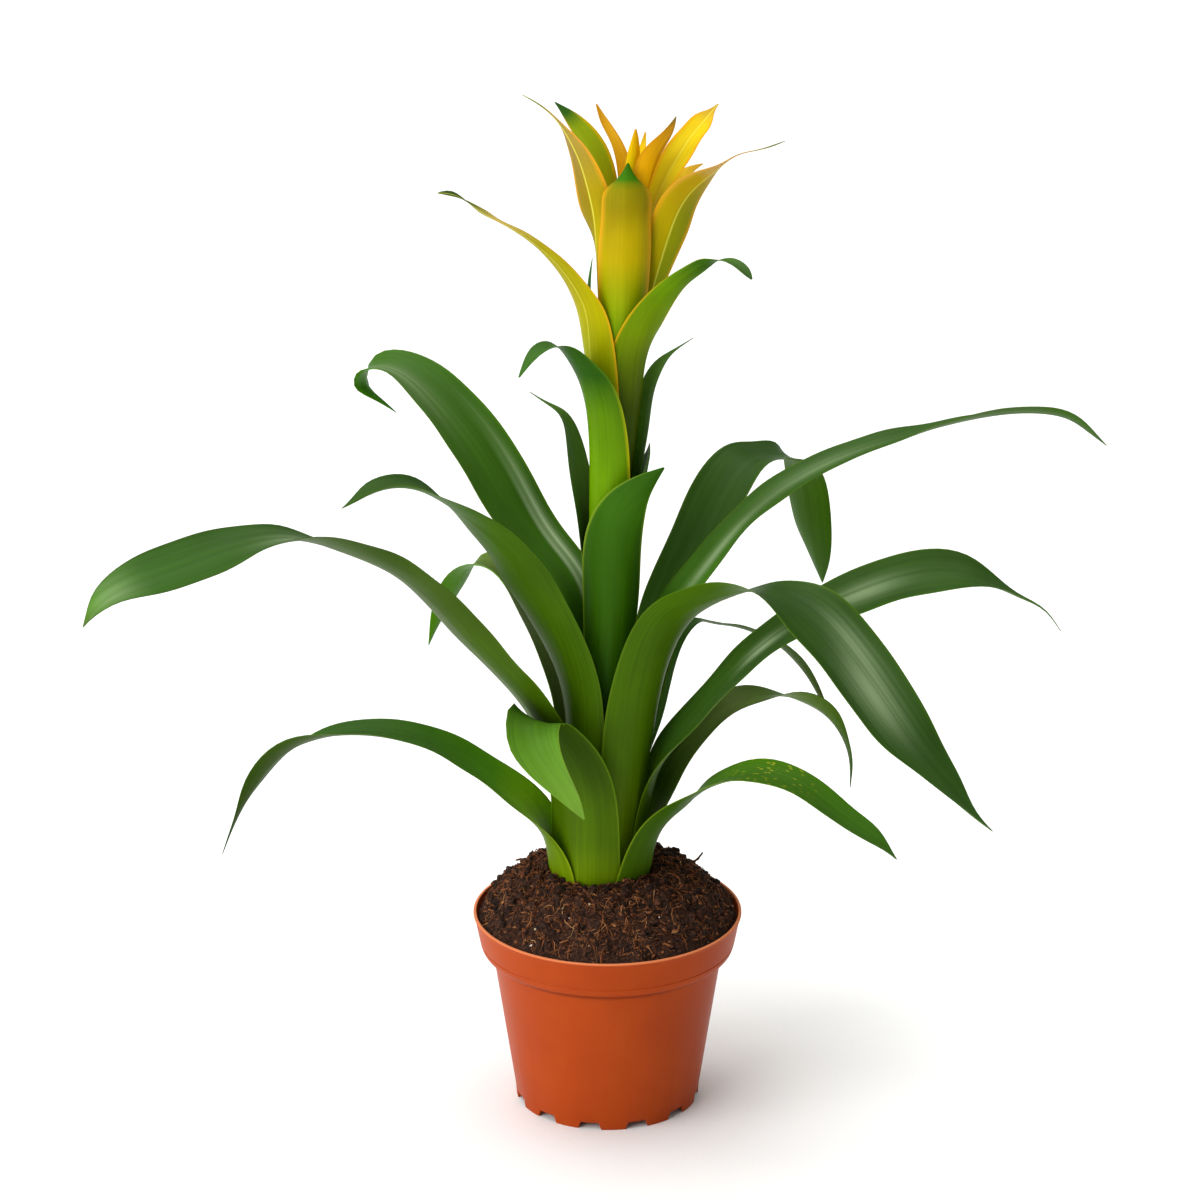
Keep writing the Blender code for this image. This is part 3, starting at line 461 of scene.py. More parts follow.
def leaf_material(name, roughness, scatter, margin_share, contrast):
    """A leaf's skin. margin_share is how far out the margin's colour starts, and contrast is of the veins."""
    made, tree, surface = new_material(
        name, IOR=1.45, Roughness=roughness, Specular_IOR_Level=0.06, Subsurface_Weight=scatter,
        Subsurface_Scale=0.0008)
    surface["Subsurface Radius"].default_value = (0.8, 1.0, 0.1)
    painted = {layer: add(tree, "Attribute", attribute_name=layer).outputs for layer in LEAF_LAYERS}
    place = painted["place"]["Vector"]
    patterns = {}
    for pattern, (width, length) in LEAF_PATTERNS.items():
        scale = (1000.0 / width, 1000.0 / length, 1000.0)
        where = add(tree, "Mapping", {"Vector": place, "Scale": scale}).outputs[0]
        drawn = add(tree, "TexNoise", {"Vector": where, "Scale": 1.0, "Detail": 2.0})
        patterns[pattern] = drawn.outputs["Fac"]

    veins = patterns["veins"]
    vein_tone = add(tree, "MapRange", {0: veins, 1: 0.3, 2: 0.7, 3: 1.0 - contrast, 4: 1.0 + contrast})
    mottle_tone = add(tree, "MapRange", {0: patterns["mottle"], 1: 0.3, 2: 0.7, 3: 0.88, 4: 1.12})
    tone = add(tree, "Math", {0: vein_tone.outputs[0], 1: mottle_tone.outputs[0]}, operation="MULTIPLY")
    colour_with_painted_light = painted["colour_with_painted_light"]["Color"]
    tissue = add(tree, "VectorMath", {0: colour_with_painted_light, "Scale": tone.outputs[0]}, operation="SCALE")

    # Painted sheen: a pale grey-green is mixed in along streaks where the painted layer asks for it, in place
    # of light glancing off the waxy skin.
    streak_share = add(tree, "MapRange", {0: patterns["streaks"], 1: 0.4, 2: 0.62, 3: 0.5, 4: 1.0}).outputs[0]
    sheen_mask = add(tree, "Math", {0: streak_share, 1: painted["painted_sheen"]["Fac"]}, operation="MULTIPLY").outputs[0]
    with_sheen = add(tree, "Mix", {0: sheen_mask, 6: tissue.outputs[0], 7: rgba("a4b88c")}, data_type="RGBA").outputs[2]

    offset = add(tree, "SeparateXYZ", {0: place}).outputs[0]
    distance = add(tree, "Math", {0: offset}, operation="ABSOLUTE").outputs[0]
    near = add(tree, "MapRange", {0: distance, 1: 0.0, 2: MM * MIDLINE_WIDTH, 3: 1.0, 4: 0.0}).outputs[0]
    line = add(tree, "Math", {0: near, 1: painted["midline"]["Fac"]}, operation="MULTIPLY").outputs[0]
    lined = add(tree, "Mix", {0: line, 6: with_sheen, 7: rgba("dcd850")}, data_type="RGBA").outputs[2]

    outwards = add(tree, "Math", {0: painted["share"]["Fac"]}, operation="ABSOLUTE").outputs[0]
    at_margin = add(tree, "MapRange", {0: outwards, 1: margin_share, 2: 1.0, 3: 0.0, 4: 1.0}).outputs[0]
    margin = painted["margin"]["Color"]
    edged = add(tree, "Mix", {0: at_margin, 6: lined, 7: margin}, data_type="RGBA").outputs[2]

    fleck_scale = (1000.0 / FLECK_SPACING, 400.0 / FLECK_SPACING, 1000.0)
    fleck_place = add(tree, "Mapping", {"Vector": place, "Scale": fleck_scale}).outputs[0]
    dots = add(tree, "TexVoronoi", {"Vector": fleck_place, "Scale": 1.0, "Randomness": 1.0})
    spot = add(tree, "MapRange", {0: dots.outputs["Distance"], 1: 0.3, 2: 0.16, 3: 0.0, 4: 0.75}).outputs[0]
    fleck = add(tree, "Math", {0: spot, 1: painted["flecked"]["Fac"]}, operation="MULTIPLY").outputs[0]
    flecked = add(tree, "Mix", {0: fleck, 6: edged, 7: rgba("b8bc30")}, data_type="RGBA").outputs[2]
    tree.links.new(flecked, surface["Base Color"])

    matt = add(tree, "MapRange", {0: veins, 1: 0.3, 2: 0.7, 3: roughness - 0.05, 4: roughness + 0.08})
    tree.links.new(matt.outputs[0], surface["Roughness"])
    relief = add(tree, "Bump", {"Height": veins, "Strength": 0.35, "Distance": 0.00006}).outputs[0]
    tree.links.new(relief, surface["Normal"])
    return made


LEAF_SKIN = leaf_material("leaf_with_waxy_cuticle", 0.42, 0.05, 0.94, 0.13)
BRACT_SKIN = leaf_material("green_bract_with_waxy_cuticle", 0.45, 0.08, 0.88, 0.1)
FLOWER_SKIN = leaf_material("yellow_bract_with_waxy_cuticle", 0.5, 0.1, 0.72, 0.07)
print("nodes in a leaf's skin:", len(LEAF_SKIN.node_tree.nodes))

# %% [markdown]
# ## The colours of each leaf
#
# Each face of a blade has its own run of colour from the base to the tip. A leaf's underside faces outwards
# low on the plant, where it is pale and yellow-green, and its upper face is the dark one. The upper face's
# bright yellow-green near the base is partly the leaf's pale base and partly painted light, for light that
# shines through the blade down in the crown's shade, and a few runs carry a greyish painted sheen part way
# along. The table holds the shares along the blade and their hex values, first for the underside and then
# for the upper face, and last the margin's colour. A fourth run, where there is one, is the underside's
# colour on one half of the blade, where it curls back: painted light and shade make that half lighter or
# darker. Leaves that aren't listed take the group's usual colours.
#
# MIDLINES gives the blades with a pale line along the midrib. FLECKS gives a place along the blade from 0
# to 1 and its reach. SHEEN_BANDS gives the places where a pale sheen is painted on the upper face as a
# painted highlight. Each is a strength, a place across the blade from -1 to 1 and its width, and a place
# along the blade from 0 to 1 and its reach.

# %% Paint for the rosette leaves and the bracts
LEAF_UNDERSIDE = [(0.0, "6a8400"), (0.2, "446402"), (0.5, "3c5c04"), (1.0, "325808")]
LEAF_MARGIN = [(0.0, "64800c"), (0.5, "466410"), (1.0, "3c5c10")]
PAINT = {
    "leaf": (
        LEAF_UNDERSIDE,
        [(0.0, "a4cc04"), (0.12, "8cc004"), (0.24, "346004"), (0.5, "244404"), (1.0, "244606")],
        LEAF_MARGIN),
    "bract": (
        [(0.0, "4e7c04"), (0.5, "487c06"), (1.0, "2a5410")],
        [(0.0, "5a8a08"), (0.5, "3c700c"), (1.0, "264e10")],
        [(0.0, "7c9a10"), (0.6, "90a014"), (1.0, "3c6816")]),
    "flower": (
        [(0.0, "90ac04"), (0.4, "c8c000"), (0.8, "e4c400"), (1.0, "d8a008")],
        [(0.0, "d0bc06"), (0.5, "e4cc04"), (0.9, "e4c008"), (1.0, "b88820")],
        [(0.0, "d8b808"), (1.0, "dca810")]),
    # The very bright upper face near the base is partly painted light, where light shines through the blade.
    "leaf_low_left": (
        [(0.0, "6a8400"), (0.2, "446402"), (0.5, "344e04"), (1.0, "2c4a06")],
        [(0.0, "b4dc04"), (0.15, "98cc04"), (0.3, "508c04"), (0.45, "305c04"), (0.6, "264c04"),
         (1.0, "244606")],
        [(0.0, "8ca010"), (0.4, "4c7010"), (1.0, "34500c")]),
    "leaf_long_left": (
        [(0.0, "5a7600"), (0.2, "3a5802"), (0.5, "344c04"), (1.0, "2c4e06")],
        [(0.0, "a4cc04"), (0.12, "8cc004"), (0.3, "346004"), (0.7, "244604"), (0.9, "285006"),
         (0.97, "406c14"),
         (1.0, "3c5c10")],
        [(0.0, "5c7808"), (0.5, "3c540c"), (1.0, "344c0c")]),
    # The greyish green part way along the upper face is a painted sheen.
    "leaf_bent_left": (
        [(0.0, "6a8400"), (0.3, "5c8c04"), (0.6, "589004"), (1.0, "4c8404")],
        [(0.0, "8cb004"), (0.3, "4c6410"), (0.6, "586c2c"), (0.78, "546c20"), (0.88, "4c8408"),
         (1.0, "447808")],
        [(0.0, "64800c"), (0.5, "5c7c10"), (1.0, "4c7c10")]),
    "leaf_tall_left": (
        [(0.0, "6a8400"), (0.2, "446402"), (0.5, "3c5c04"), (0.8, "448004"), (1.0, "4c8c08")],
        [(0.0, "a4cc04"), (0.12, "94c404"), (0.24, "447804"), (0.5, "325c04"), (1.0, "305a06")],
        [(0.0, "64800c"), (0.5, "547410"), (1.0, "486c10")]),
    "leaf_long_right": (
        LEAF_UNDERSIDE,
        [(0.0, "a4cc04"), (0.12, "9cd004"), (0.3, "427806"), (0.5, "2c5206"), (1.0, "264a06")],
        LEAF_MARGIN),
    # The greyish green near the middle of both faces is a painted sheen.
    "leaf_hook_right": (
        [(0.0, "5c7400"), (0.2, "445c08"), (0.5, "586c28"), (0.65, "4c6814"), (1.0, "345808")],
        [(0.0, "8cb004"), (0.24, "446410"), (0.5, "586c28"), (0.65, "3c5c10"), (1.0, "2c5008")],
        LEAF_MARGIN),
    "leaf_thin_right": (
        [(0.0, "446402"), (0.88, "304c02"), (0.96, "344002"), (1.0, "4c2c04")],
        [(0.0, "3c7006"), (0.88, "244802"), (0.96, "2c3c02"), (1.0, "4c2c04")],
        [(0.0, "5c7808"), (0.88, "345004"), (1.0, "4c2c04")]),
    "leaf_flopped_front": (
        [(0.0, "6a8400"), (0.2, "446002"), (0.5, "365204"), (1.0, "325808")],
        [(0.0, "5c9404"), (0.5, "3c6c08"), (0.75, "4c7814"), (1.0, "5c8020")],
        [(0.0, "64800c"), (0.5, "5c8010"), (1.0, "6c8c2c")]),
    "leaf_low_right": (
        [(0.0, "446200"), (0.3, "345602"), (0.6, "406a02"), (1.0, "3c6004")],
        [(0.0, "6c9804"), (0.2, "3c6a02"), (0.55, "447404"), (1.0, "346404")],
        [(0.0, "748c10"), (0.5, "648414"), (1.0, "4c7018")]),
    "bract_front": (
        [(0.0, "204602"), (0.4, "2e5602"), (0.8, "346008"), (1.0, "285008")],
        [(0.0, "5a8a08"), (0.5, "4c7e0a"), (1.0, "3c700c")],
        [(0.0, "5c8410"), (0.7, "86a024"), (1.0, "507c20")]),
    "bract_dark_left": (
        [(0.0, "78a804"), (0.3, "547c14"), (0.6, "4c6c20"), (1.0, "40641c")],
        [(0.0, "78a804"), (0.3, "4e7820"), (0.6, "4c6c24"), (1.0, "40641c")],
        [(0.0, "90a810"), (0.5, "54702c"), (1.0, "3c5820")]),
    "bract_thin_right": (
        [(0.0, "78a804"), (0.4, "4c8004"), (0.7, "44700c"), (1.0, "3c601c")],
        [(0.0, "78a804"), (0.4, "44780a"), (0.7, "446c14"), (1.0, "3c601c")],
        [(0.0, "90a810"), (0.5, "507820"), (1.0, "3c5820")]),
    "bract_bright_left": (
        [(0.0, "5c9400"), (0.35, "689400"), (0.6, "547c02"), (0.72, "265008"), (1.0, "2e5410")],
        [(0.0, "5c9c04"), (0.6, "3c700c"), (1.0, "2c5414")],
        [(0.0, "a4b404"), (0.5, "bcb80c"), (0.7, "4c7010"), (1.0, "3a5c1c")]),
    "bract_long_tipped": (
        [(0.0, "749400"), (0.25, "809c00"), (0.5, "a49c02"), (0.72, "948810"), (0.84, "b8a050"),
         (0.92, "4a6014"),
         (1.0, "2a4818")],
        [(0.0, "96b004"), (0.35, "c8c006"), (0.6, "bcac10"), (0.78, "a88c40"), (0.9, "4a6014"),
         (1.0, "2a4818")],
        [(0.0, "c8a808"), (0.5, "d8a010"), (0.8, "a88438"), (1.0, "3a5014")]),
    "bract_arched_right": (
        [(0.0, "344400"), (0.25, "3a4e00"), (0.45, "6a8400"), (0.65, "5c8002"), (0.8, "2c5008"),
         (1.0, "2a480c")],
        [(0.0, "8ca804"), (0.5, "749c0c"), (0.75, "447014"), (1.0, "2c4c14")],
        [(0.0, "c4ac08"), (0.5, "d8a414"), (0.7, "788c14"), (1.0, "3a5014")]),
    "bract_small_left": (
        [(0.0, "285c04"), (1.0, "2c6808")],
        [(0.0, "3c7006"), (1.0, "306008")],
        [(0.0, "487c10"), (1.0, "3c7010")]),
    "flower_front": (
        [(0.0, "608000"), (0.35, "6c8c00"), (0.5, "909800"), (0.62, "b09c00"), (0.72, "a89400"),
         (0.82, "8c7c00"),
         (0.91, "847c02"), (0.935, "3a7004"), (1.0, "285c04")],
        [(0.0, "b0b804"), (0.8, "d4b808"), (0.93, "44700c"), (1.0, "28540c")],
        [(0.0, "c8a408"), (0.6, "d89c10"), (0.88, "cc9410"), (0.935, "32680c"), (1.0, "28540c")]),
    "flower_right_outer": (
        [(0.0, "808000"), (0.3, "948c00"), (0.55, "b09c00"), (0.72, "b09004"), (0.8, "c49c64"),
         (0.9, "b48c4c"),
         (0.95, "5c7014"), (1.0, "3c5414")],
        [(0.0, "b0b404"), (0.5, "d4b808"), (0.7, "7c9008"), (0.8, "c49c64"), (0.92, "b48c4c"),
         (1.0, "2c4c14")],
        [(0.0, "cca008"), (0.6, "d89c10"), (0.85, "c49454"), (1.0, "3a5014")],
        [(0.0, "6c7c02"), (0.3, "7c8802"), (0.6, "8c8c02"), (0.72, "a48c08"), (0.8, "c49c64"),
         (0.9, "b48c4c"),
         (0.95, "5c7014"), (1.0, "3c5414")]),
    "flower_left_outer": (
        [(0.0, "607800"), (0.25, "748000"), (0.45, "887c00"), (0.62, "907810"), (0.78, "907834"),
         (0.88, "8c7c38"),
         (0.94, "4c6414"), (1.0, "345410")],
        [(0.0, "b8b404"), (0.4, "ccb604"), (0.7, "d0b208"), (0.87, "c09440"), (0.95, "909020"),
         (1.0, "587414")],
        [(0.0, "d8a008"), (0.7, "dc9818"), (0.9, "bc8c48"), (1.0, "587414")],
        [(0.0, "748c00"), (0.25, "8c9400"), (0.45, "a89800"), (0.62, "a08c08"), (0.78, "988030"),
         (0.88, "8c7c38"),
         (0.94, "4c6414"), (1.0, "345410")]),
    "flower_green_left": (
        [(0.0, "a4b404"), (0.4, "bcc204"), (0.75, "acc004"), (0.9, "84a808"), (0.93, "2e680c"),
         (1.0, "245010")],
        [(0.0, "c0c400"), (0.5, "acbc00"), (0.85, "98b000"), (0.93, "2e680c"), (1.0, "245010")],
        [(0.0, "e0b808"), (0.87, "e0b40c"), (0.94, "30680c"), (1.0, "245010")]),
    "flower_orange": (
        [(0.0, "f0cc00"), (0.4, "f8c800"), (0.7, "f4b400"), (0.95, "cc900a"), (1.0, "6c6414")],
        [(0.0, "e0bc04"), (0.6, "e4b408"), (1.0, "c08c14")],
        [(0.0, "e0a408"), (0.9, "cc8c10"), (1.0, "5c5c14")],
        [(0.0, "d8a800"), (0.4, "d49c00"), (0.7, "d09400"), (0.95, "b87c0a"), (1.0, "6c6414")]),
    "flower_right": (
        [(0.0, "bcac00"), (0.5, "ccb800"), (0.9, "d0ac00"), (1.0, "a87c30")],
        [(0.0, "ccb800"), (0.5, "d4c400"), (0.9, "d8b800"), (1.0, "a87c30")],
        [(0.0, "e4b008"), (0.9, "e09c0c"), (1.0, "a87c30")]),
    "flower_back_point": (
        [(0.0, "d8c404"), (0.5, "e4b804"), (1.0, "cc900c")],
        [(0.0, "e0c804"), (0.6, "e4b008"), (1.0, "d0940c")],
        [(0.0, "e4b008"), (1.0, "cc8810")]),
}
MIDLINES = {"flower_left_outer": 0.8, "flower_right_outer": 0.8, "flower_right": 0.6, "bract_long_tipped": 0.5}
FLECKS = {"leaf_low_right": (0.58, 0.17)}
SHEEN_BANDS = {
    "leaf_tall_left": [
        (1.2, -0.66, 0.1, 0.5, 0.15), (0.9, -0.46, 0.06, 0.46, 0.13), (0.35, 0.45, 0.5, 0.84, 0.09)],
    "leaf_long_right": [(0.55, 0.0, 0.25, 0.44, 0.06), (0.25, 0.1, 0.35, 0.6, 0.08)],
    "leaf_broad_right": [(0.5, 0.4, 0.25, 0.7, 0.05), (0.55, 0.0, 0.5, 0.77, 0.06)],
    "leaf_mid_right": [(0.6, 0.1, 0.25, 0.47, 0.04), (0.4, 0.0, 0.4, 0.65, 0.06)],
    "leaf_long_left": [(0.35, 0.2, 0.6, 0.7, 0.05), (0.3, 0.0, 0.8, 0.95, 0.03)],
    "leaf_mid_left": [(0.35, 0.2, 0.3, 0.8, 0.08)],
}


def colours_along(stops, along):
    """Linear colours at the shares along the blade, blended between the painter's stops."""
    shares = [share for share, _ in stops]
    channels = np.array([linear(colour) for _, colour in stops])
    red, green, blue = (np.interp(along, shares, channels[:, i]) for i in range(3))
    return np.stack([red, green, blue, np.ones_like(red)], axis=1)


def paint_blade(piece, name, group, facts):
    """Writes a blade's colours with painted light, shade and sheen, its margin, midrib line and flecks."""
    under, over, margin, *painted_light_half = PAINT.get(name, PAINT[group])
    along = facts["along"]
    upper = facts["upper"][:, None]
    beneath = colours_along(under, along)
    # Painted light and shade: one half of the underside takes the fourth run, lighter or darker than the
    # other.
    if painted_light_half:
        half = np.clip(0.5 + 6.0 * facts["share"], 0.0, 1.0)[:, None]
        beneath += (colours_along(painted_light_half[0], along) - beneath) * half
    colour_with_painted_light = colours_along(over, along) * upper + beneath * (1.0 - upper)
    # Painted sheen: each upper face gets a faint pale sheen, and each band adds a brighter painted highlight.
    painted_sheen = 0.03 * facts["upper"]
    for strength, across, width, middle, reach in SHEEN_BANDS.get(name, []):
        band = np.exp(-(((facts["share"] - across) / width) ** 2) - ((along - middle) / reach) ** 2)
        painted_sheen += strength * band * facts["upper"]
    middle, reach = FLECKS.get(name, (0.5, 0.0))
    flecks = np.clip(1.0 - np.abs(along - middle) / reach, 0.0, 1.0) if reach else along * 0.0
    paint(piece, "colour_with_painted_light", "FLOAT_COLOR", colour_with_painted_light)
    paint(piece, "margin", "FLOAT_COLOR", colours_along(margin, along))
    paint(piece, "painted_sheen", "FLOAT", painted_sheen)
    paint(piece, "midline", "FLOAT", along * 0.0 + MIDLINES.get(name, 0.0))
    paint(piece, "flecked", "FLOAT", flecks)
    paint(piece, "place", "FLOAT_VECTOR", facts["place"])
    paint(piece, "share", "FLOAT", facts["share"])


print("painted apart:", len(PAINT) - 2, "with a midrib line:", len(MIDLINES), "sheen_painted:", len(SHEEN_BANDS))


# %% [markdown]
# ## Growing the leaves
#
# Every blade is made by the same steps: the body from its stations, the material of its group and the paint.
# Rosette leaves are a little thicker than bracts, and their margins ripple more.

# %% The rosette leaves
LEAF_BUILD = {"thickness": 0.7, "row_length": 4.0, "columns": 19, "ripple": 0.45}
BRACT_BUILD = {"thickness": 0.5, "row_length": 2.5, "columns": 15, "ripple": 0.2}
SKINS = {
    "leaf": (LEAF_SKIN, "leaf_green"),
    "bract": (BRACT_SKIN, "bract_green"),
    "flower": (FLOWER_SKIN, "bract_yellow"),
}


def grow(name, facing, root_radius, stations, number, build):
    group = name.split("_")[0]
    points, faces, facts = blade_body(facing, root_radius, stations, number, build)
    skin, slot = SKINS[group]
    piece = add_piece(name + "_blade", points, faces, skin, slot, covers=[name], sharp=60.0)
    paint_blade(piece, name, group, facts)
    return len(faces)


face_count = 0
for number, (name, facing, ring, base_width, blade) in enumerate(ROSETTE):
    stations = [(0, CROWN_BASE_UP, base_width, 0), *blade]
    root_radius = CROWN_RADIUS - ring * RING_STEP
    face_count += grow(name, facing, root_radius, stations, number, LEAF_BUILD)
print("rosette leaves:", len(ROSETTE), "faces:", face_count)

# %% [markdown]
# The bracts clasp the stem and not the crown, so they grow from the stem's radius. Their numbers follow on
# from the rosette's, because a blade's number decides where its veins and its ripple start.

# %% The bracts
face_count = 0
for number, (name, facing, blade) in enumerate(BRACTS):
    face_count += grow(name, facing, STEM_RADIUS, blade, number + len(ROSETTE), BRACT_BUILD)
print("bracts:", len(BRACTS), "faces:", face_count)

# %% [markdown]
# ## The stem
#
# The stem, or scape, shows only in slits between the bracts. It is a tapering green rod, so it is lofted
# through circles of the sizes in the table, with a little swelling at each joint.

# %% Loft the stem
STEM_SIDES = 28
STEM_FIBRE_WIDTH = 1.11
STEM_FIBRE_LENGTH = 33.3


def circle(radius, height, sides, centre=0.0):
    turns = [2.0 * math.pi * i / sides for i in range(sides)]
    return [(centre + radius * math.cos(t), radius * math.sin(t), height) for t in turns]


def loft(rings):
    """Faces of a closed body through rings of the same number of points."""
    sides = len(rings[0])
    faces = [tuple(reversed(range(sides)))]
    for row in range(len(rings) - 1):
        for side in range(sides):
            here, there = row * sides + side, row * sides + (side + 1) % sides
            faces.append((here, there, there + sides, here + sides))
    faces.append(tuple(range((len(rings) - 1) * sides, len(rings) * sides)))
    return [point for ring in rings for point in ring], faces


def stem_material():
    made, tree, surface = new_material(
        "stem_tissue", IOR=1.45, Roughness=0.5, Subsurface_Weight=0.1, Subsurface_Scale=0.001)
    place = add(tree, "TexCoord").outputs["Object"]
    scale = (1000.0 / STEM_FIBRE_WIDTH, 1000.0 / STEM_FIBRE_WIDTH, 1000.0 / STEM_FIBRE_LENGTH)
    streaks = add(tree, "Mapping", {"Vector": place, "Scale": scale}).outputs[0]
    fibre = add(tree, "TexNoise", {"Vector": streaks, "Scale": 1.0, "Detail": 3.0}).outputs["Fac"]
    greens = [(0.3, "5f8a1c"), (0.7, "86a832")]
    colour = add(tree, "ValToRGB", {"Fac": fibre}, stops=greens).outputs[0]
    tree.links.new(colour, surface["Base Color"])
    relief = add(tree, "Bump", {"Height": fibre, "Strength": 0.4, "Distance": 0.0001}).outputs[0]
    tree.links.new(relief, surface["Normal"])
    return made


stem_rows = np.arange(STEM_TAPER[0][0], STEM_TAPER[-1][0] + 1, 3.0)
stem_radii = STEM_RADIUS - np.interp(stem_rows, *zip(*STEM_TAPER))
stem_rings = []
for up, radius in zip(stem_rows, stem_radii):
    shift = CROWN_X + LEAN * (up - SOIL_CROWN_UP)
    swelling = radius * (1.0 + 0.012 * math.sin(up / 3.6))
    stem_rings.append([tuple(MM * value for value in point)
                       for point in circle(swelling, up + POT_HEIGHT, STEM_SIDES, shift)])
add_piece("scape", *loft(stem_rings), stem_material(), "scape_green", covers=["stem"])
print("stem rings:", len(stem_rings))

# %% [markdown]
# ## The pot
#
# The pot is polypropylene, moulded in one piece about a millimetre thick. It is a turned shape, so its wall
# is a line that is spun round the axis: up the outside, over the rolled lip, down the inside and across the
# floor. A mould gives it soft corners, a shallow groove near the foot of the band, and feet that are parted
# by notches, so that water can run out from under it.

# %% The pot's line
POT_LIP_RADIUS = 65.0
POT_LIP_BEAD = 0.6
POT_LIP_HEIGHT = 2.0
POT_BAND_RADIUS = 61.0
POT_BAND_HEIGHT = 19.0
POT_SHELF_DROP = 3.0
POT_WALL_TOP_RADIUS = 55.5
POT_FOOT_RADIUS = 45.0
POT_WALL = 1.2
FOOT_COUNT = 12
FOOT_TAPER = 0.4
FOOT_SHARE = 0.54
NOTCH_HEIGHT = 3.5
FLOOR_HEIGHT = 5.5
PAD_RADIUS = 16.0
DISH_RUN = 6.0
DRAIN_COUNT = 8
DRAIN_RADIUS = 4.0
DRAIN_CIRCLE = 32.0
GROOVE_UP = 4.2
GROOVE_DEPTH = 0.35
POT_SIDES = 192


def rounded(line, radius, steps=4):
    """Rounds each inner corner of a line of (radius, height) points with a short curve."""
    soft = [line[0]]
    for before, corner, after in zip(line, line[1:], line[2:]):
        before, corner, after = Vector(before), Vector(corner), Vector(after)
        back, on = before - corner, after - corner
        reach = min(radius, 0.45 * back.length, 0.45 * on.length)
        start, end = corner + back.normalized() * reach, corner + on.normalized() * reach
        for step in range(steps + 1):
            t = step / steps
            soft.append(tuple(start.lerp(corner, t).lerp(corner.lerp(end, t), t)))
    return [*soft, line[-1]]


def pot_line():
    """The outer line from the foot of the wall to the lip."""
    band_up = POT_HEIGHT - POT_BAND_HEIGHT
    shelf = POT_BAND_RADIUS - POT_WALL_TOP_RADIUS
    slope = (POT_LIP_RADIUS - POT_LIP_BEAD - POT_BAND_RADIUS) / (POT_BAND_HEIGHT - POT_LIP_HEIGHT)
    groove = POT_BAND_RADIUS + slope * GROOVE_UP
    return [
        (POT_FOOT_RADIUS, FLOOR_HEIGHT),
        (POT_WALL_TOP_RADIUS, band_up - POT_SHELF_DROP),
        (POT_WALL_TOP_RADIUS + 0.45 * shelf, band_up - 0.5 * POT_SHELF_DROP),
        (POT_WALL_TOP_RADIUS + 0.85 * shelf, band_up),
        (POT_BAND_RADIUS, band_up + 0.4 * POT_SHELF_DROP),
        (groove - 0.05, band_up + GROOVE_UP - 0.5),
        (groove - GROOVE_DEPTH, band_up + GROOVE_UP),
        (groove + 0.15, band_up + GROOVE_UP + 0.5),
        (POT_LIP_RADIUS - POT_LIP_BEAD, POT_HEIGHT - POT_LIP_HEIGHT),
        (POT_LIP_RADIUS, POT_HEIGHT - 0.6 * POT_LIP_HEIGHT),
        (POT_LIP_RADIUS, POT_HEIGHT - 0.15 * POT_LIP_HEIGHT),
        (POT_LIP_RADIUS - 0.3 * POT_WALL, POT_HEIGHT),
        (POT_LIP_RADIUS - 1.1 * POT_WALL, POT_HEIGHT),
    ]


def pot_inner_line():
    """The line of the pot's inside, one wall in from the outside, from the lip to the pad."""
    band_up = POT_HEIGHT - POT_BAND_HEIGHT
    lean_in = (POT_WALL_TOP_RADIUS - POT_FOOT_RADIUS) / (band_up - POT_SHELF_DROP - FLOOR_HEIGHT)
    return [
        (POT_LIP_RADIUS - POT_LIP_BEAD - POT_WALL, POT_HEIGHT - 0.9 * POT_LIP_HEIGHT),
        (POT_BAND_RADIUS - POT_WALL, band_up + 0.7 * POT_SHELF_DROP),
        (POT_WALL_TOP_RADIUS - POT_WALL + 0.6, band_up - 0.35 * POT_SHELF_DROP),
        (POT_WALL_TOP_RADIUS - POT_WALL, band_up - 0.75 * POT_SHELF_DROP),
        (POT_FOOT_RADIUS - POT_WALL + lean_in * POT_WALL, FLOOR_HEIGHT + POT_WALL),
        (PAD_RADIUS + DISH_RUN - 0.3, FLOOR_HEIGHT + POT_WALL),
        (PAD_RADIUS - 0.5, POT_WALL),
    ]


print("points along the pot's wall:", len(rounded(pot_line(), 0.9)))

# %% [markdown]
# Moulded polypropylene is smooth but not polished: fine grain in the mould leaves a satin face with a
# roughness near 0.4. Its refractive index is 1.49. The colour is mixed through the plastic and is very even.
# Handling and potting leave faint scuffs and specks of peat. The corner under the band is darkened with
# painted shade, and the top of the lip is painted lighter as a painted highlight.
#
# The patterns' sizes are in millimetres: soft clouds of tone, the length and the height of a scuff, the
# distance between specks and between the patches where they lie, and the grain of the mould. The painted
# shade's corner is a drop below the band, and the shade is full to the first reach and gone at the second.

# %% The pot's plastic
CLOUD_SIZE = 35.7
SCUFF_LENGTH = 7.7
SCUFF_HEIGHT = 1.43
SPECK_SPACING = 6.67
SPECK_PATCH = 16.7
MOULD_GRAIN = 0.625
BAND_SHADE_DROP = 1.6
BAND_SHADE_REACH = (0.6, 2.6)
LIP_HIGHLIGHT = 0.9


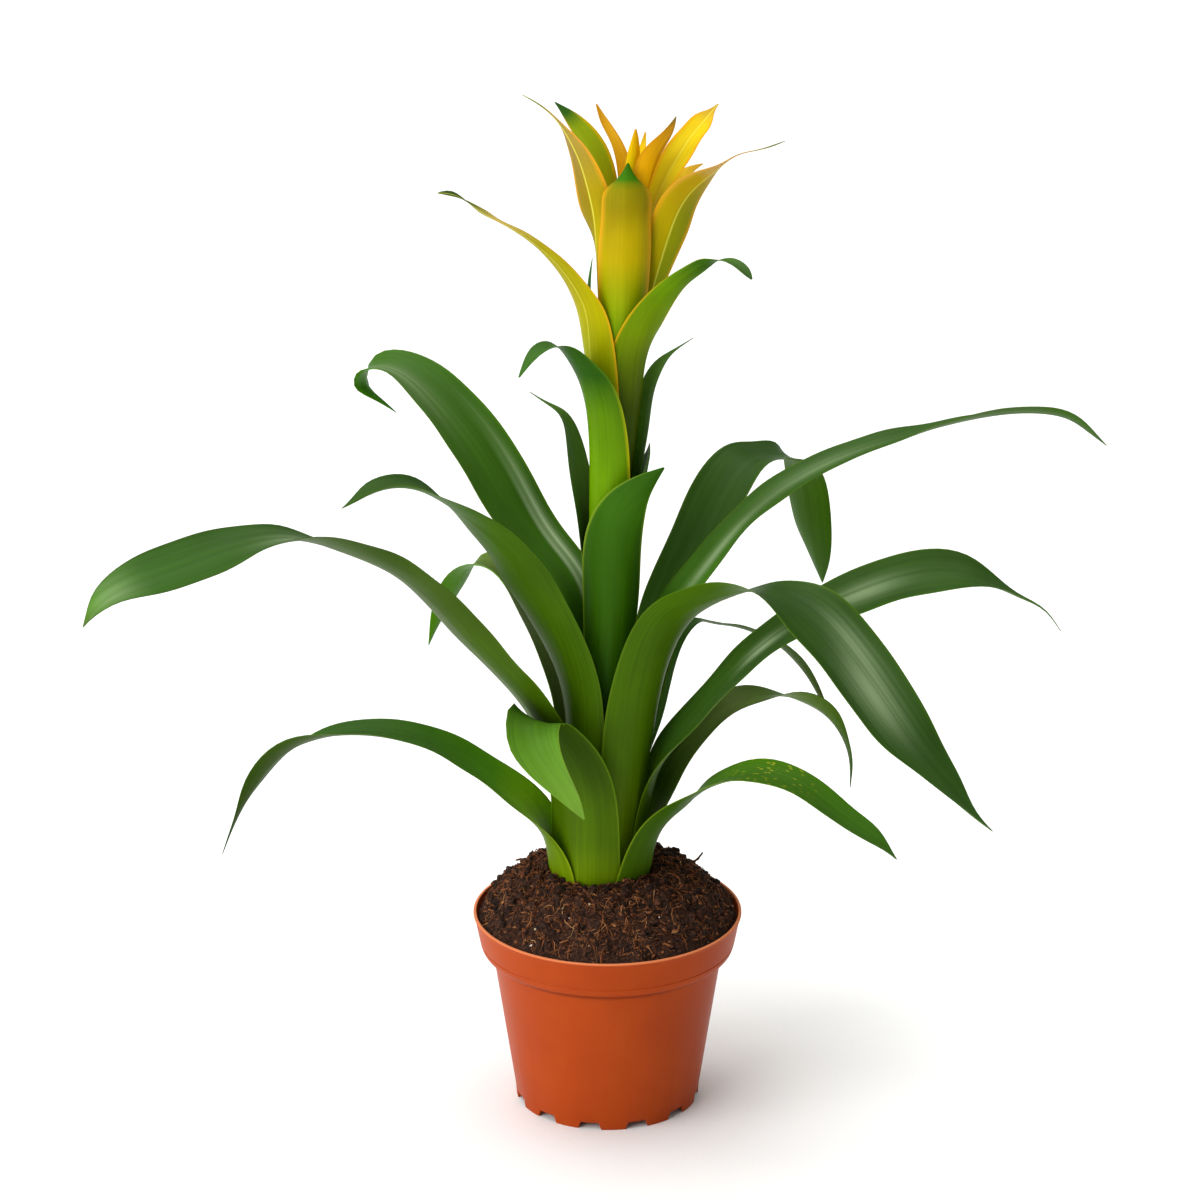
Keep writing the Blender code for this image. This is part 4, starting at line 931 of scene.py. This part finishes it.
def pot_material():
    made, tree, surface = new_material(
        "moulded_polypropylene", IOR=1.49, Roughness=0.42, Specular_IOR_Level=0.07)
    place = add(tree, "TexCoord").outputs["Object"]
    clouds = add(tree, "TexNoise", {"Vector": place, "Scale": 1000.0 / CLOUD_SIZE, "Detail": 4.0})
    cloud = clouds.outputs["Fac"]
    colour = add(tree, "ValToRGB", {"Fac": cloud}, stops=[(0.3, "9c3a0e"), (0.7, "a64212")]).outputs[0]

    scuff_scale = (1000.0 / SCUFF_LENGTH, 1000.0 / SCUFF_LENGTH, 1000.0 / SCUFF_HEIGHT)
    scuff_place = add(tree, "Mapping", {"Vector": place, "Scale": scuff_scale}).outputs[0]
    scuffs = add(tree, "TexNoise", {"Vector": scuff_place, "Scale": 1.0, "Detail": 5.0, "Roughness": 0.7})
    rubbed = add(tree, "MapRange", {0: scuffs.outputs["Fac"], 1: 0.66, 2: 0.8, 3: 0.0, 4: 0.3}).outputs[0]
    scuffed = add(tree, "Mix", {0: rubbed, 6: colour, 7: rgba("c06038")}, data_type="RGBA").outputs[2]

    specks = add(tree, "TexVoronoi", {"Vector": place, "Scale": 1000.0 / SPECK_SPACING, "Randomness": 1.0})
    speck = add(tree, "MapRange", {0: specks.outputs["Distance"], 1: 0.1, 2: 0.05, 3: 0.0, 4: 0.5}).outputs[0]
    patches = add(tree, "TexNoise", {"Vector": place, "Scale": 1000.0 / SPECK_PATCH, "Detail": 1.0})
    patch = add(tree, "MapRange", {0: patches.outputs["Fac"], 1: 0.6, 2: 0.75, 3: 0.0, 4: 1.0}).outputs[0]
    dust = add(tree, "Math", {0: speck, 1: patch}, operation="MULTIPLY").outputs[0]
    dusty = add(tree, "Mix", {0: dust, 6: scuffed, 7: rgba("4a2010")}, data_type="RGBA").outputs[2]

    height = add(tree, "SeparateXYZ", {0: place}).outputs[2]
    # Painted shade: the wall just under the band is darkened towards a dark red-brown, where the band's shadow
    # falls.
    corner = MM * (POT_HEIGHT - POT_BAND_HEIGHT - BAND_SHADE_DROP)
    above = add(tree, "Math", {0: height, 1: corner}, operation="SUBTRACT").outputs[0]
    from_corner = add(tree, "Math", {0: above}, operation="ABSOLUTE").outputs[0]
    full, none = (MM * distance for distance in BAND_SHADE_REACH)
    band_shade = add(tree, "MapRange", {0: from_corner, 1: full, 2: none, 3: 0.6, 4: 0.0}).outputs[0]
    band_shaded = add(tree, "Mix", {0: band_shade, 6: dusty, 7: rgba("5a1c06")}, data_type="RGBA").outputs[2]

    # Painted highlight: the top of the lip is painted a lighter orange, as if lit.
    lip_start, lip_top = MM * (POT_HEIGHT - LIP_HIGHLIGHT), MM * POT_HEIGHT
    lip_highlight = add(tree, "MapRange", {0: height, 1: lip_start, 2: lip_top, 3: 0.0, 4: 0.9}).outputs[0]
    lip_lit = add(tree, "Mix", {0: lip_highlight, 6: band_shaded, 7: rgba("e88a5a")}, data_type="RGBA").outputs[2]
    tree.links.new(lip_lit, surface["Base Color"])

    satin = add(tree, "MapRange", {0: cloud, 1: 0.3, 2: 0.7, 3: 0.36, 4: 0.48}).outputs[0]
    tree.links.new(satin, surface["Roughness"])
    grain = add(tree, "TexNoise", {"Vector": place, "Scale": 1000.0 / MOULD_GRAIN, "Detail": 2.0})
    relief = add(tree, "Bump", {"Height": grain.outputs["Fac"], "Strength": 0.15, "Distance": 0.00005})
    tree.links.new(relief.outputs[0], surface["Normal"])
    return made


POT_PLASTIC = pot_material()
print("nodes in the pot's plastic:", len(POT_PLASTIC.node_tree.nodes))

# %% [markdown]
# The wall and its foot are built as rings of points. Under the floor the wall runs on down as a skirt, and
# the skirt's lower edge steps up at each notch. Each notch has steep sides, so the step is made by a function
# of the angle that is flat on the foot, flat in the notch and steep between them. It could be cut with a
# Boolean, but a step in the rings keeps the wall one even net of faces.

# %% Spin the pot
def notch_lift(turn):
    """Height of the skirt's edge at an angle, from 0 on a foot to NOTCH_HEIGHT in a notch."""
    period = 2.0 * math.pi / FOOT_COUNT
    foot_centre = 0.125 * period
    offset = abs((turn - foot_centre + period / 2.0) % period - period / 2.0) / (period / 2.0)
    return NOTCH_HEIGHT * min(1.0, max(0.0, (offset - FOOT_SHARE) / 0.04 + 0.5))


def spin_pot():
    outside = rounded(pot_line(), 0.9)
    inside = rounded(pot_inner_line(), 1.5)
    rings = [circle(radius, height, POT_SIDES) for radius, height in outside + inside]
    points = [point for ring in rings for point in ring]
    faces = []

    def join(low, high):
        for here in range(POT_SIDES):
            there = (here + 1) % POT_SIDES
            faces.append((low + here, low + there, high + there, high + here))

    for row in range(len(rings) - 1):
        join(row * POT_SIDES, (row + 1) * POT_SIDES)
    faces.append(tuple((len(rings) - 1) * POT_SIDES + side for side in range(POT_SIDES)))
    under_start = len(points)
    dish_radius, wall_radius = PAD_RADIUS + DISH_RUN, POT_FOOT_RADIUS - POT_WALL
    for radius, height in ((PAD_RADIUS, 0.0), (dish_radius, FLOOR_HEIGHT), (wall_radius, FLOOR_HEIGHT)):
        points += circle(radius, height, POT_SIDES)
    faces.append(tuple(under_start + side for side in reversed(range(POT_SIDES))))
    join(under_start, under_start + POT_SIDES)
    join(under_start + POT_SIDES, under_start + 2 * POT_SIDES)
    foot_start = len(points)
    edge = POT_FOOT_RADIUS - FOOT_TAPER
    soft = 0.25
    skirt = [(edge, soft), (edge - soft, 0.0), (edge - POT_WALL + soft, 0.0), (edge - POT_WALL, soft)]
    for radius, rise in skirt:
        for x, y, _ in circle(radius, 0.0, POT_SIDES):
            points.append((x, y, rise + notch_lift(math.atan2(y, x))))
    join(foot_start, 0)
    for row in range(3):
        join(foot_start + (row + 1) * POT_SIDES, foot_start + row * POT_SIDES)
    join(under_start + 2 * POT_SIDES, foot_start + 3 * POT_SIDES)
    return [tuple(MM * value for value in point) for point in points], faces


pot = add_piece("nursery_pot", *spin_pot(), POT_PLASTIC, "moulded_polypropylene", covers=["pot"], sharp=35.0)
print("pot faces before the holes:", len(pot.data.polygons))

# %% [markdown]
# The drain holes are round and go straight through the floor. A Boolean modifier cuts a hole for each of a
# ring of short rods. The result is stored in the mesh and the rods are removed, so that the pot is plain
# geometry again.

# %% Cut the drain holes
def cut_drains(body):
    rods = []
    for hole in range(DRAIN_COUNT):
        turn = 2.0 * math.pi * (hole + 0.5) / DRAIN_COUNT
        x, y = DRAIN_CIRCLE * math.cos(turn), DRAIN_CIRCLE * math.sin(turn)
        ends = [[(a + x, b + y, c) for a, b, c in circle(DRAIN_RADIUS, height, 32)]
                for height in (FLOOR_HEIGHT - 1.0, FLOOR_HEIGHT + 2.0 * POT_WALL)]
        points, faces = loft(ends)
        mesh = bpy.data.meshes.new("rod")
        mesh.from_pydata([tuple(MM * value for value in point) for point in points], [], faces)
        rod = bpy.data.objects.new(f"rod_{hole}", mesh)
        bpy.context.scene.collection.objects.link(rod)
        cut = body.modifiers.new(rod.name, "BOOLEAN")
        cut.object = rod
        rods.append(rod)
    bpy.context.view_layer.update()
    finished = bpy.data.meshes.new_from_object(body.evaluated_get(bpy.context.evaluated_depsgraph_get()))
    body.modifiers.clear()
    body.data = finished
    for rod in rods:
        bpy.data.objects.remove(rod)


cut_drains(pot)
print("pot faces:", len(pot.data.polygons))

# %% [markdown]
# ## The potting mix
#
# The mix is peat and coir: dark crumbs, and orange-brown fibres of coconut husk that lie in all directions.
# It could be a smooth mound with a bumpy material, but its outline is ragged and its fibres stand clear of
# it. So it is built in layers: a body with a rough surface, crumbs that are sown on that surface, then
# fibres, chips and a few pale grains. The body's lumps are three noise patterns on top of each other. The
# table holds the rise and the size of each in millimetres, and a third number that keeps them apart.

# %% The shape of the mound
SOIL_EDGE_HEIGHT = 95.5
SOCKET_CLEARANCE = 0.6
SOIL_EDGE_RADIUS = 62.3
MOUND_RINGS = 110
MOUND_SIDES = 420
MOUND_LUMPS = [(2.4, 13.0, 3.1), (2.0, 4.2, 7.7), (1.0, 1.5, 1.3)]
CLIMB_WIDTH = 4.0


def mound_height(x, y):
    """Height of the mix above the pot's base at a place, in millimetres, with its lumps."""
    crown = POT_HEIGHT + SOIL_CROWN_UP
    radius = math.hypot(x, y)
    from_crown = math.hypot(x - CROWN_X, y)
    share = min(1.0, max(0.0, (SOIL_EDGE_RADIUS - radius) / (SOIL_EDGE_RADIUS - CROWN_RADIUS - 6.0)))
    height = SOIL_EDGE_HEIGHT + math.sin(share * math.pi / 2.0) * (crown - SOIL_EDGE_HEIGHT)
    for rise, size, layer in MOUND_LUMPS:
        height += rise * noise.noise(Vector((x / size, y / size, layer)))
    climb = max(0.0, 1.0 - (from_crown - CROWN_RADIUS) / CLIMB_WIDTH)
    return height + climb * (0.9 + 4.0 * noise.noise(Vector((x / 2.6, y / 2.6, 9.2))))


def mix_body():
    """The closed body of the mix: its rough top, its side along the pot's wall and its underside."""
    inner = CROWN_RADIUS + SOCKET_CLEARANCE
    floor_up = FLOOR_HEIGHT + POT_WALL + 0.3
    band_up = POT_HEIGHT - POT_BAND_HEIGHT
    line = [
        (PAD_RADIUS - 1.0, POT_WALL + 0.4),
        (PAD_RADIUS + DISH_RUN - 0.6, floor_up),
        (POT_FOOT_RADIUS - POT_WALL - 0.6, floor_up),
        (POT_WALL_TOP_RADIUS - POT_WALL - 0.5, band_up - 2.0),
        (POT_BAND_RADIUS - POT_WALL - 0.6, band_up + 3.0),
    ]
    rings = [circle(radius, height, MOUND_SIDES) for radius, height in line]
    for step in range(MOUND_RINGS + 1):
        share = step / MOUND_RINGS
        radius = SOIL_EDGE_RADIUS + share * (inner - SOIL_EDGE_RADIUS)
        ring = circle(radius, 0.0, MOUND_SIDES, CROWN_X * share)
        rings.append([(x, y, mound_height(x, y)) for x, y, _ in ring])
    rings.append(circle(inner, POT_HEIGHT + 11.0, MOUND_SIDES, CROWN_X))
    points, faces = loft(rings)
    return [tuple(MM * value for value in point) for point in points], faces


print("mix's height at the pot's wall in mm:", round(mound_height(0.0, -SOIL_EDGE_RADIUS), 1))

# %% [markdown]
# Wet peat is nearly black brown, and dry crumbs are a redder brown. The colour is chosen by a noise pattern
# near the size of the crumbs, 1 to 5 mm, and a finer one of half a millimetre gives the relief. The surface is
# matt, with a roughness of 0.92. Each crumb and fibre also carries its own shade, so that neighbours differ.

# %% Peat and coir
def mix_material(name, stops, grain_size, relief_size):
    made, tree, surface = new_material(name, IOR=1.4, Roughness=0.92, Specular_IOR_Level=0.3)
    place = add(tree, "TexCoord").outputs["Object"]
    shade = add(tree, "Attribute", attribute_name="shade").outputs["Fac"]
    grain = add(tree, "TexNoise", {"Vector": place, "Scale": 1000.0 / grain_size, "Detail": 4.0})
    spread = add(tree, "MapRange", {0: grain.outputs["Fac"], 1: 0.3, 2: 0.7, 3: -0.28, 4: 0.28}).outputs[0]
    chosen = add(tree, "Math", {0: spread, 1: shade}, operation="ADD").outputs[0]
    colour = add(tree, "ValToRGB", {"Fac": chosen}, stops=stops).outputs[0]
    tree.links.new(colour, surface["Base Color"])
    fine = add(tree, "TexNoise", {"Vector": place, "Scale": 1000.0 / relief_size, "Detail": 4.0})
    relief = add(tree, "Bump", {"Height": fine.outputs["Fac"], "Strength": 0.9, "Distance": 0.0005}).outputs[0]
    tree.links.new(relief, surface["Normal"])
    return made


PEAT = mix_material(
    "damp_peat", [(0.0, "160a05"), (0.42, "342016"), (0.72, "603822"), (1.0, "945a30")], 1.5, 0.5)
COIR = mix_material(
    "coir_fibre", [(0.0, "3e1e10"), (0.35, "763e20"), (0.7, "a8683a"), (1.0, "d4a06c")], 5.0, 0.5)
BARK = mix_material("bark_chip", [(0.0, "4a2814"), (0.5, "8a5630"), (1.0, "b98452")], 3.0, 0.6)
PALE_GRIT = mix_material("pale_grit", [(0.0, "a08060"), (0.6, "c8b490"), (1.0, "ece6d8")], 1.0, 0.5)

body = add_piece("potting_mix", *mix_body(), PEAT, "peat_and_coir_mix", covers=["soil"], sharp=180.0)
paint(body, "shade", "FLOAT", np.full(len(body.data.vertices), 0.36))
print("mix faces:", len(body.data.polygons))

# %% [markdown]
# Sowing needs chance, but the picture should be the same each time. A random generator with a fixed seed
# gives that. A place is drawn evenly over the ring between the crown and the pot's wall, and things that
# would stand in the leaf bases are drawn again.

# %% Places on the mound
def sow(dice, edge=SOIL_EDGE_RADIUS - 0.8):
    """A random place on the mound in millimetres, with its height."""
    while True:
        radius = math.sqrt(dice.uniform(0.0, edge**2))
        turn = dice.uniform(0.0, 2.0 * math.pi)
        x, y = radius * math.cos(turn), radius * math.sin(turn)
        if math.hypot(x - CROWN_X, y) > CROWN_RADIUS + 0.9:
            return x, y, mound_height(x, y)


def join_shapes(shapes):
    """Joins many small shapes into one list of points, one of faces and one shade for each point."""
    points, faces, shades = [], [], []
    for shape_points, shape_faces, shade in shapes:
        first = len(points)
        points += [tuple(MM * value for value in point) for point in shape_points]
        faces += [tuple(first + index for index in face) for face in shape_faces]
        shades += [shade] * len(shape_points)
    return points, faces, shades


def scatter(name, shapes, material, sharp):
    points, faces, shades = join_shapes(shapes)
    piece = add_piece(name, points, faces, material, "peat_and_coir_mix", sharp=sharp)
    paint(piece, "shade", "FLOAT", shades)
    print(name, "pieces:", len(shapes), "faces:", len(faces))


# %% [markdown]
# A crumb is a small lump with no two sides alike. It starts as a ball of twenty triangles whose corners are
# pushed in and out, and it is squashed and turned. Most crumbs are about a millimetre across and a few are
# three. Clods are bigger lumps that lie half sunk in the mix and break up its outline.

# %% Crumbs
def lump(dice, place, size, detail=1):
    """A rough ball of twenty triangles, or of eighty for a detail of 2."""
    form = bmesh.new()
    bmesh.ops.create_icosphere(form, subdivisions=detail, radius=1.0)
    turn = Vector([dice.uniform(-1.0, 1.0) for _ in range(3)])
    turn.normalize()
    angle = dice.uniform(0.0, math.pi)
    stretch = Vector((dice.uniform(0.6, 1.4), dice.uniform(0.6, 1.1), dice.uniform(0.5, 0.9)))
    points = []
    for vertex in form.verts:
        spot = vertex.co * dice.uniform(0.7, 1.25)
        spot = Vector((spot.x * stretch.x, spot.y * stretch.y, spot.z * stretch.z))
        spot.rotate(Quaternion(turn, angle))
        points.append(tuple(Vector(place) + spot * size))
    faces = [tuple(vertex.index for vertex in face.verts) for face in form.faces]
    form.free()
    return points, faces


dice = random.Random(11)
crumbs = []
for _ in range(3200):
    size = 0.45 + 1.1 * dice.random() ** 3
    x, y, z = sow(dice)
    crumbs.append((*lump(dice, (x, y, z + 0.3 * size), size), dice.uniform(0.1, 0.8)))
scatter("peat_crumbs", crumbs, PEAT, 180.0)

clods = []
for _ in range(300):
    size = 1.4 + 1.5 * dice.random() ** 2
    x, y, z = sow(dice, SOIL_EDGE_RADIUS - 3.5)
    clods.append((*lump(dice, (x, y, z), size, detail=2), dice.uniform(0.15, 0.55)))
scatter("peat_clods", clods, PEAT, 180.0)

# %% [markdown]
# A coir fibre is a thread a few tenths of a millimetre thick that bends gently. Its path is a short walk over
# the mound that turns a little at each step and stays near the surface, sometimes arching clear of it. The
# body is a thin three-sided tube, which is enough for something so thin. Between the long fibres lies a mat
# of short, fine ones.

# %% Fibres
def fibre(dice, length, thickness, lift):
    """A bent thread that lies on the mound, thinner at its ends."""
    x, y, z = sow(dice, SOIL_EDGE_RADIUS - 2.0)
    heading = dice.uniform(0.0, 2.0 * math.pi)
    bend = dice.uniform(-0.5, 0.5)
    steps = 7
    path = []
    for step in range(steps + 1):
        share = step / steps
        if math.hypot(x, y) > SOIL_EDGE_RADIUS - 0.5 or math.hypot(x - CROWN_X, y) < CROWN_RADIUS + 1.0:
            heading += 2.0
        height = mound_height(x, y) + 0.15 + lift * math.sin(math.pi * share) + dice.uniform(0.0, 0.3)
        path.append(Vector((x, y, height)))
        heading += bend + dice.uniform(-0.25, 0.25)
        x += math.cos(heading) * length / steps
        y += math.sin(heading) * length / steps
    points, faces = [], []
    for step, spot in enumerate(path):
        along = (path[min(step + 1, steps)] - path[max(step - 1, 0)]).normalized()
        side = along.cross(Vector((0.0, 0.0, 1.0))).normalized()
        rise = side.cross(along)
        radius = thickness * (0.45 + 0.55 * math.sin(math.pi * (0.08 + 0.84 * step / steps)))
        for corner in range(3):
            turn = 2.0 * math.pi * corner / 3.0
            points.append(tuple(spot + (side * math.cos(turn) + rise * math.sin(turn)) * radius))
    faces.append((2, 1, 0))
    for step in range(steps):
        for corner in range(3):
            here, there = step * 3 + corner, step * 3 + (corner + 1) % 3
            faces.append((here, there, there + 3, here + 3))
    faces.append((steps * 3, steps * 3 + 1, steps * 3 + 2))
    return points, faces


dice = random.Random(23)
threads = []
for _ in range(760):
    length = 2.5 + 12.0 * dice.random() ** 2
    thread = fibre(dice, length, dice.uniform(0.08, 0.24), dice.uniform(0.0, 1.2))
    threads.append((*thread, dice.uniform(0.05, 0.85)))
scatter("coir_fibres", threads, COIR, 180.0)

hairs = []
for _ in range(1500):
    length = 1.2 + 3.5 * dice.random() ** 2
    hair = fibre(dice, length, dice.uniform(0.05, 0.13), dice.uniform(0.1, 0.7))
    hairs.append((*hair, dice.uniform(0.0, 0.8)))
scatter("coir_hairs", hairs, COIR, 180.0)

# %% [markdown]
# A few bigger things catch the eye: flat chips of bark and husk, pale grains of grit and seed husks, and two
# short twigs that stand out of the mound, one at each side. Slim shreds of dark peat lie between them at all
# angles, and a ring of loose crumbs is heaped against the leaf bases.

# %% Chips, grit and twigs
def chip(dice, place, size, slimness=1.0):
    """A flat, pointed flake. A slimness below one makes it a shred."""
    heading, tip = dice.uniform(0.0, 2.0 * math.pi), dice.uniform(-0.5, 0.9)
    along = Vector((math.cos(heading), math.sin(heading), 0.5 * tip))
    side = Vector((-math.sin(heading), math.cos(heading), dice.uniform(-0.6, 0.6)))
    up = along.cross(side).normalized() * size * 0.09
    outline = [(-1.0, 0.0), (-0.5, 0.28), (0.2, 0.34), (1.0, 0.05), (0.4, -0.26), (-0.4, -0.3)]
    flat = []
    for a, b in outline:
        flat.append(Vector(place) + (along * a + side * b * slimness) * size * dice.uniform(0.85, 1.1))
    points = [tuple(spot + up) for spot in flat] + [tuple(spot - up) for spot in flat]
    count = len(outline)
    faces = [tuple(range(count)), tuple(reversed(range(count, 2 * count)))]
    faces += [(i, i + count, (i + 1) % count + count, (i + 1) % count) for i in range(count)]
    return points, faces


dice = random.Random(5)
chips = []
for _ in range(130):
    size = 0.7 + 2.0 * dice.random() ** 2
    x, y, z = sow(dice, SOIL_EDGE_RADIUS - 3.0)
    chips.append((*chip(dice, (x, y, z + 0.35), size), dice.uniform(0.1, 0.9)))
scatter("bark_chips", chips, BARK, 30.0)

shreds = []
for _ in range(1700):
    size = 0.6 + 1.6 * dice.random() ** 2
    x, y, z = sow(dice, SOIL_EDGE_RADIUS - 2.5)
    shreds.append((*chip(dice, (x, y, z + 0.45), size, dice.uniform(0.25, 0.7)), dice.uniform(0.2, 1.1)))
scatter("peat_shreds", shreds, PEAT, 30.0)

collar = []
for _ in range(330):
    size = 0.4 + 0.7 * dice.random() ** 2
    turn, radius = dice.uniform(0.0, 2.0 * math.pi), CROWN_RADIUS + dice.uniform(1.4, 3.4)
    x, y = CROWN_X + radius * math.cos(turn), radius * math.sin(turn)
    z = mound_height(x, y) + dice.uniform(0.0, 1.6) * dice.random()
    collar.append((*lump(dice, (x, y, z), size), dice.uniform(0.1, 0.8)))
scatter("crumbs_at_the_leaf_bases", collar, PEAT, 180.0)

TWIGS = [(-38.0, 24.0, 195.0, 8.0, 7.0), (41.0, 22.0, 10.0, 45.0, 8.0)]


def twig(dice, x, y, heading, rise, length):
    """A short, crooked stick that stands out of the mix, with a swelling at each joint."""
    turn, climb = math.radians(heading), math.radians(rise)
    ahead = Vector((math.cos(turn) * math.cos(climb), math.sin(turn) * math.cos(climb), math.sin(climb)))
    side = ahead.cross(Vector((0.0, 0.0, 1.0))).normalized()
    over = side.cross(ahead)
    spot = Vector((x, y, mound_height(x, y) - 0.5))
    rings = []
    for step in range(9):
        radius = 0.75 * (1.0 - 0.05 * step) * dice.uniform(0.75, 1.2)
        turns = [2.0 * math.pi * corner / 7.0 for corner in range(7)]
        rings.append([tuple(spot + (side * math.cos(t) + over * math.sin(t)) * radius) for t in turns])
        spot = spot + ahead * length / 8.0 + over * dice.uniform(-0.3, 0.3) + side * dice.uniform(-0.2, 0.2)
    return loft(rings)


twigs = [(*twig(dice, *place), 0.12) for place in TWIGS]
scatter("twigs", twigs, BARK, 50.0)

grit = []
for _ in range(28):
    size = 0.3 + 0.5 * dice.random() ** 2
    x, y, z = sow(dice)
    grit.append((*lump(dice, (x, y, z + 0.35 * size), size), dice.uniform(0.2, 1.0)))
scatter("pale_grit", grit, PALE_GRIT, 180.0)

# %% [markdown]
# ## The studio
#
# The plant stands on a pale sweep of paper in soft light. A large soft box to the left and in front gives the
# pot its bright left side. A very broad overhead light, like a white ceiling, lights the leaves and the floor,
# and the white surroundings fill the shade. The floor is paper, so its shader is matt with a very light grain.

# %% Floor
PAPER_GRAIN = 1.11
FLOOR_REACH = 8.0


def paper_material():
    made, tree, surface = new_material("matt_white_paper", IOR=1.5, Roughness=0.85)
    place = add(tree, "TexCoord").outputs["Object"]
    grain = add(tree, "TexNoise", {"Vector": place, "Scale": 1000.0 / PAPER_GRAIN, "Detail": 2.0})
    whites = [(0.3, "f6f6f4"), (0.7, "fbfbfa")]
    colour = add(tree, "ValToRGB", {"Fac": grain.outputs["Fac"]}, stops=whites).outputs[0]
    tree.links.new(colour, surface["Base Color"])
    return made


floor_mesh = bpy.data.meshes.new("paper_sweep")
corners = [(-1, -1), (1, -1), (1, 1), (-1, 1)]
floor_mesh.from_pydata([(FLOOR_REACH * x, FLOOR_REACH * y, 0.0) for x, y in corners], [], [(0, 1, 2, 3)])
floor_mesh.materials.append(paper_material())
floor = bpy.data.objects.new("paper_sweep", floor_mesh)
bpy.context.scene.collection.objects.link(floor)
print("floor's width in metres:", 2.0 * FLOOR_REACH)

# %% [markdown]
# The soft box is an area light, which throws soft shadows because it is large. The ceiling is a sun whose
# disc spans seventy degrees, so it lights the leaves evenly from above wherever they are. The world is white
# and weak, and it fills what the two lamps leave dark.

# %% Lights
def soft_box(name, place, aim, size, power):
    light = bpy.data.lights.new(name, "AREA")
    light.shape = "RECTANGLE"
    light.size = size[0]
    light.size_y = size[1]
    light.energy = power
    lamp = bpy.data.objects.new(name, light)
    lamp.location = place
    lamp.rotation_euler = (Vector(aim) - Vector(place)).to_track_quat("-Z", "Y").to_euler()
    bpy.context.scene.collection.objects.link(lamp)


soft_box("key_box", (-2.2, -1.7, 1.2), (0.0, 0.0, 0.2), (2.6, 2.6), 88.0)

overhead = bpy.data.lights.new("overhead", "SUN")
overhead.energy = 2.9
overhead.angle = math.radians(70.0)
overhead_lamp = bpy.data.objects.new("overhead", overhead)
overhead_lamp.rotation_euler = (math.radians(-12.0), math.radians(-8.0), 0.0)
bpy.context.scene.collection.objects.link(overhead_lamp)

surroundings = bpy.data.worlds.new("white_studio")
surroundings.use_nodes = True
surroundings.node_tree.nodes["Background"].inputs["Color"].default_value = (1.0, 1.0, 1.0, 1.0)
surroundings.node_tree.nodes["Background"].inputs["Strength"].default_value = 0.3
bpy.context.scene.world = surroundings
bpy.context.scene.view_settings.view_transform = "Standard"
print("lights:", [lamp.name for lamp in bpy.data.lights])

# %% [markdown]
# ## The camera
#
# The camera stands about two metres away, a little above the plant, and looks down at it by twenty degrees
# through a long lens, which keeps the pot's sides nearly parallel.

# %% Camera
camera_data = bpy.data.cameras.new("camera")
camera_data.lens = 135.8
camera_data.sensor_width = 36.0
camera = bpy.data.objects.new("camera", camera_data)
camera.location = (-0.0036, -2.010, 0.992)
camera.rotation_euler = (math.radians(90.0 - 20.1), 0.0, 0.0)
bpy.context.scene.collection.objects.link(camera)
bpy.context.scene.camera = camera
print("camera's distance from the pot in metres:", round(camera.location.length, 2))
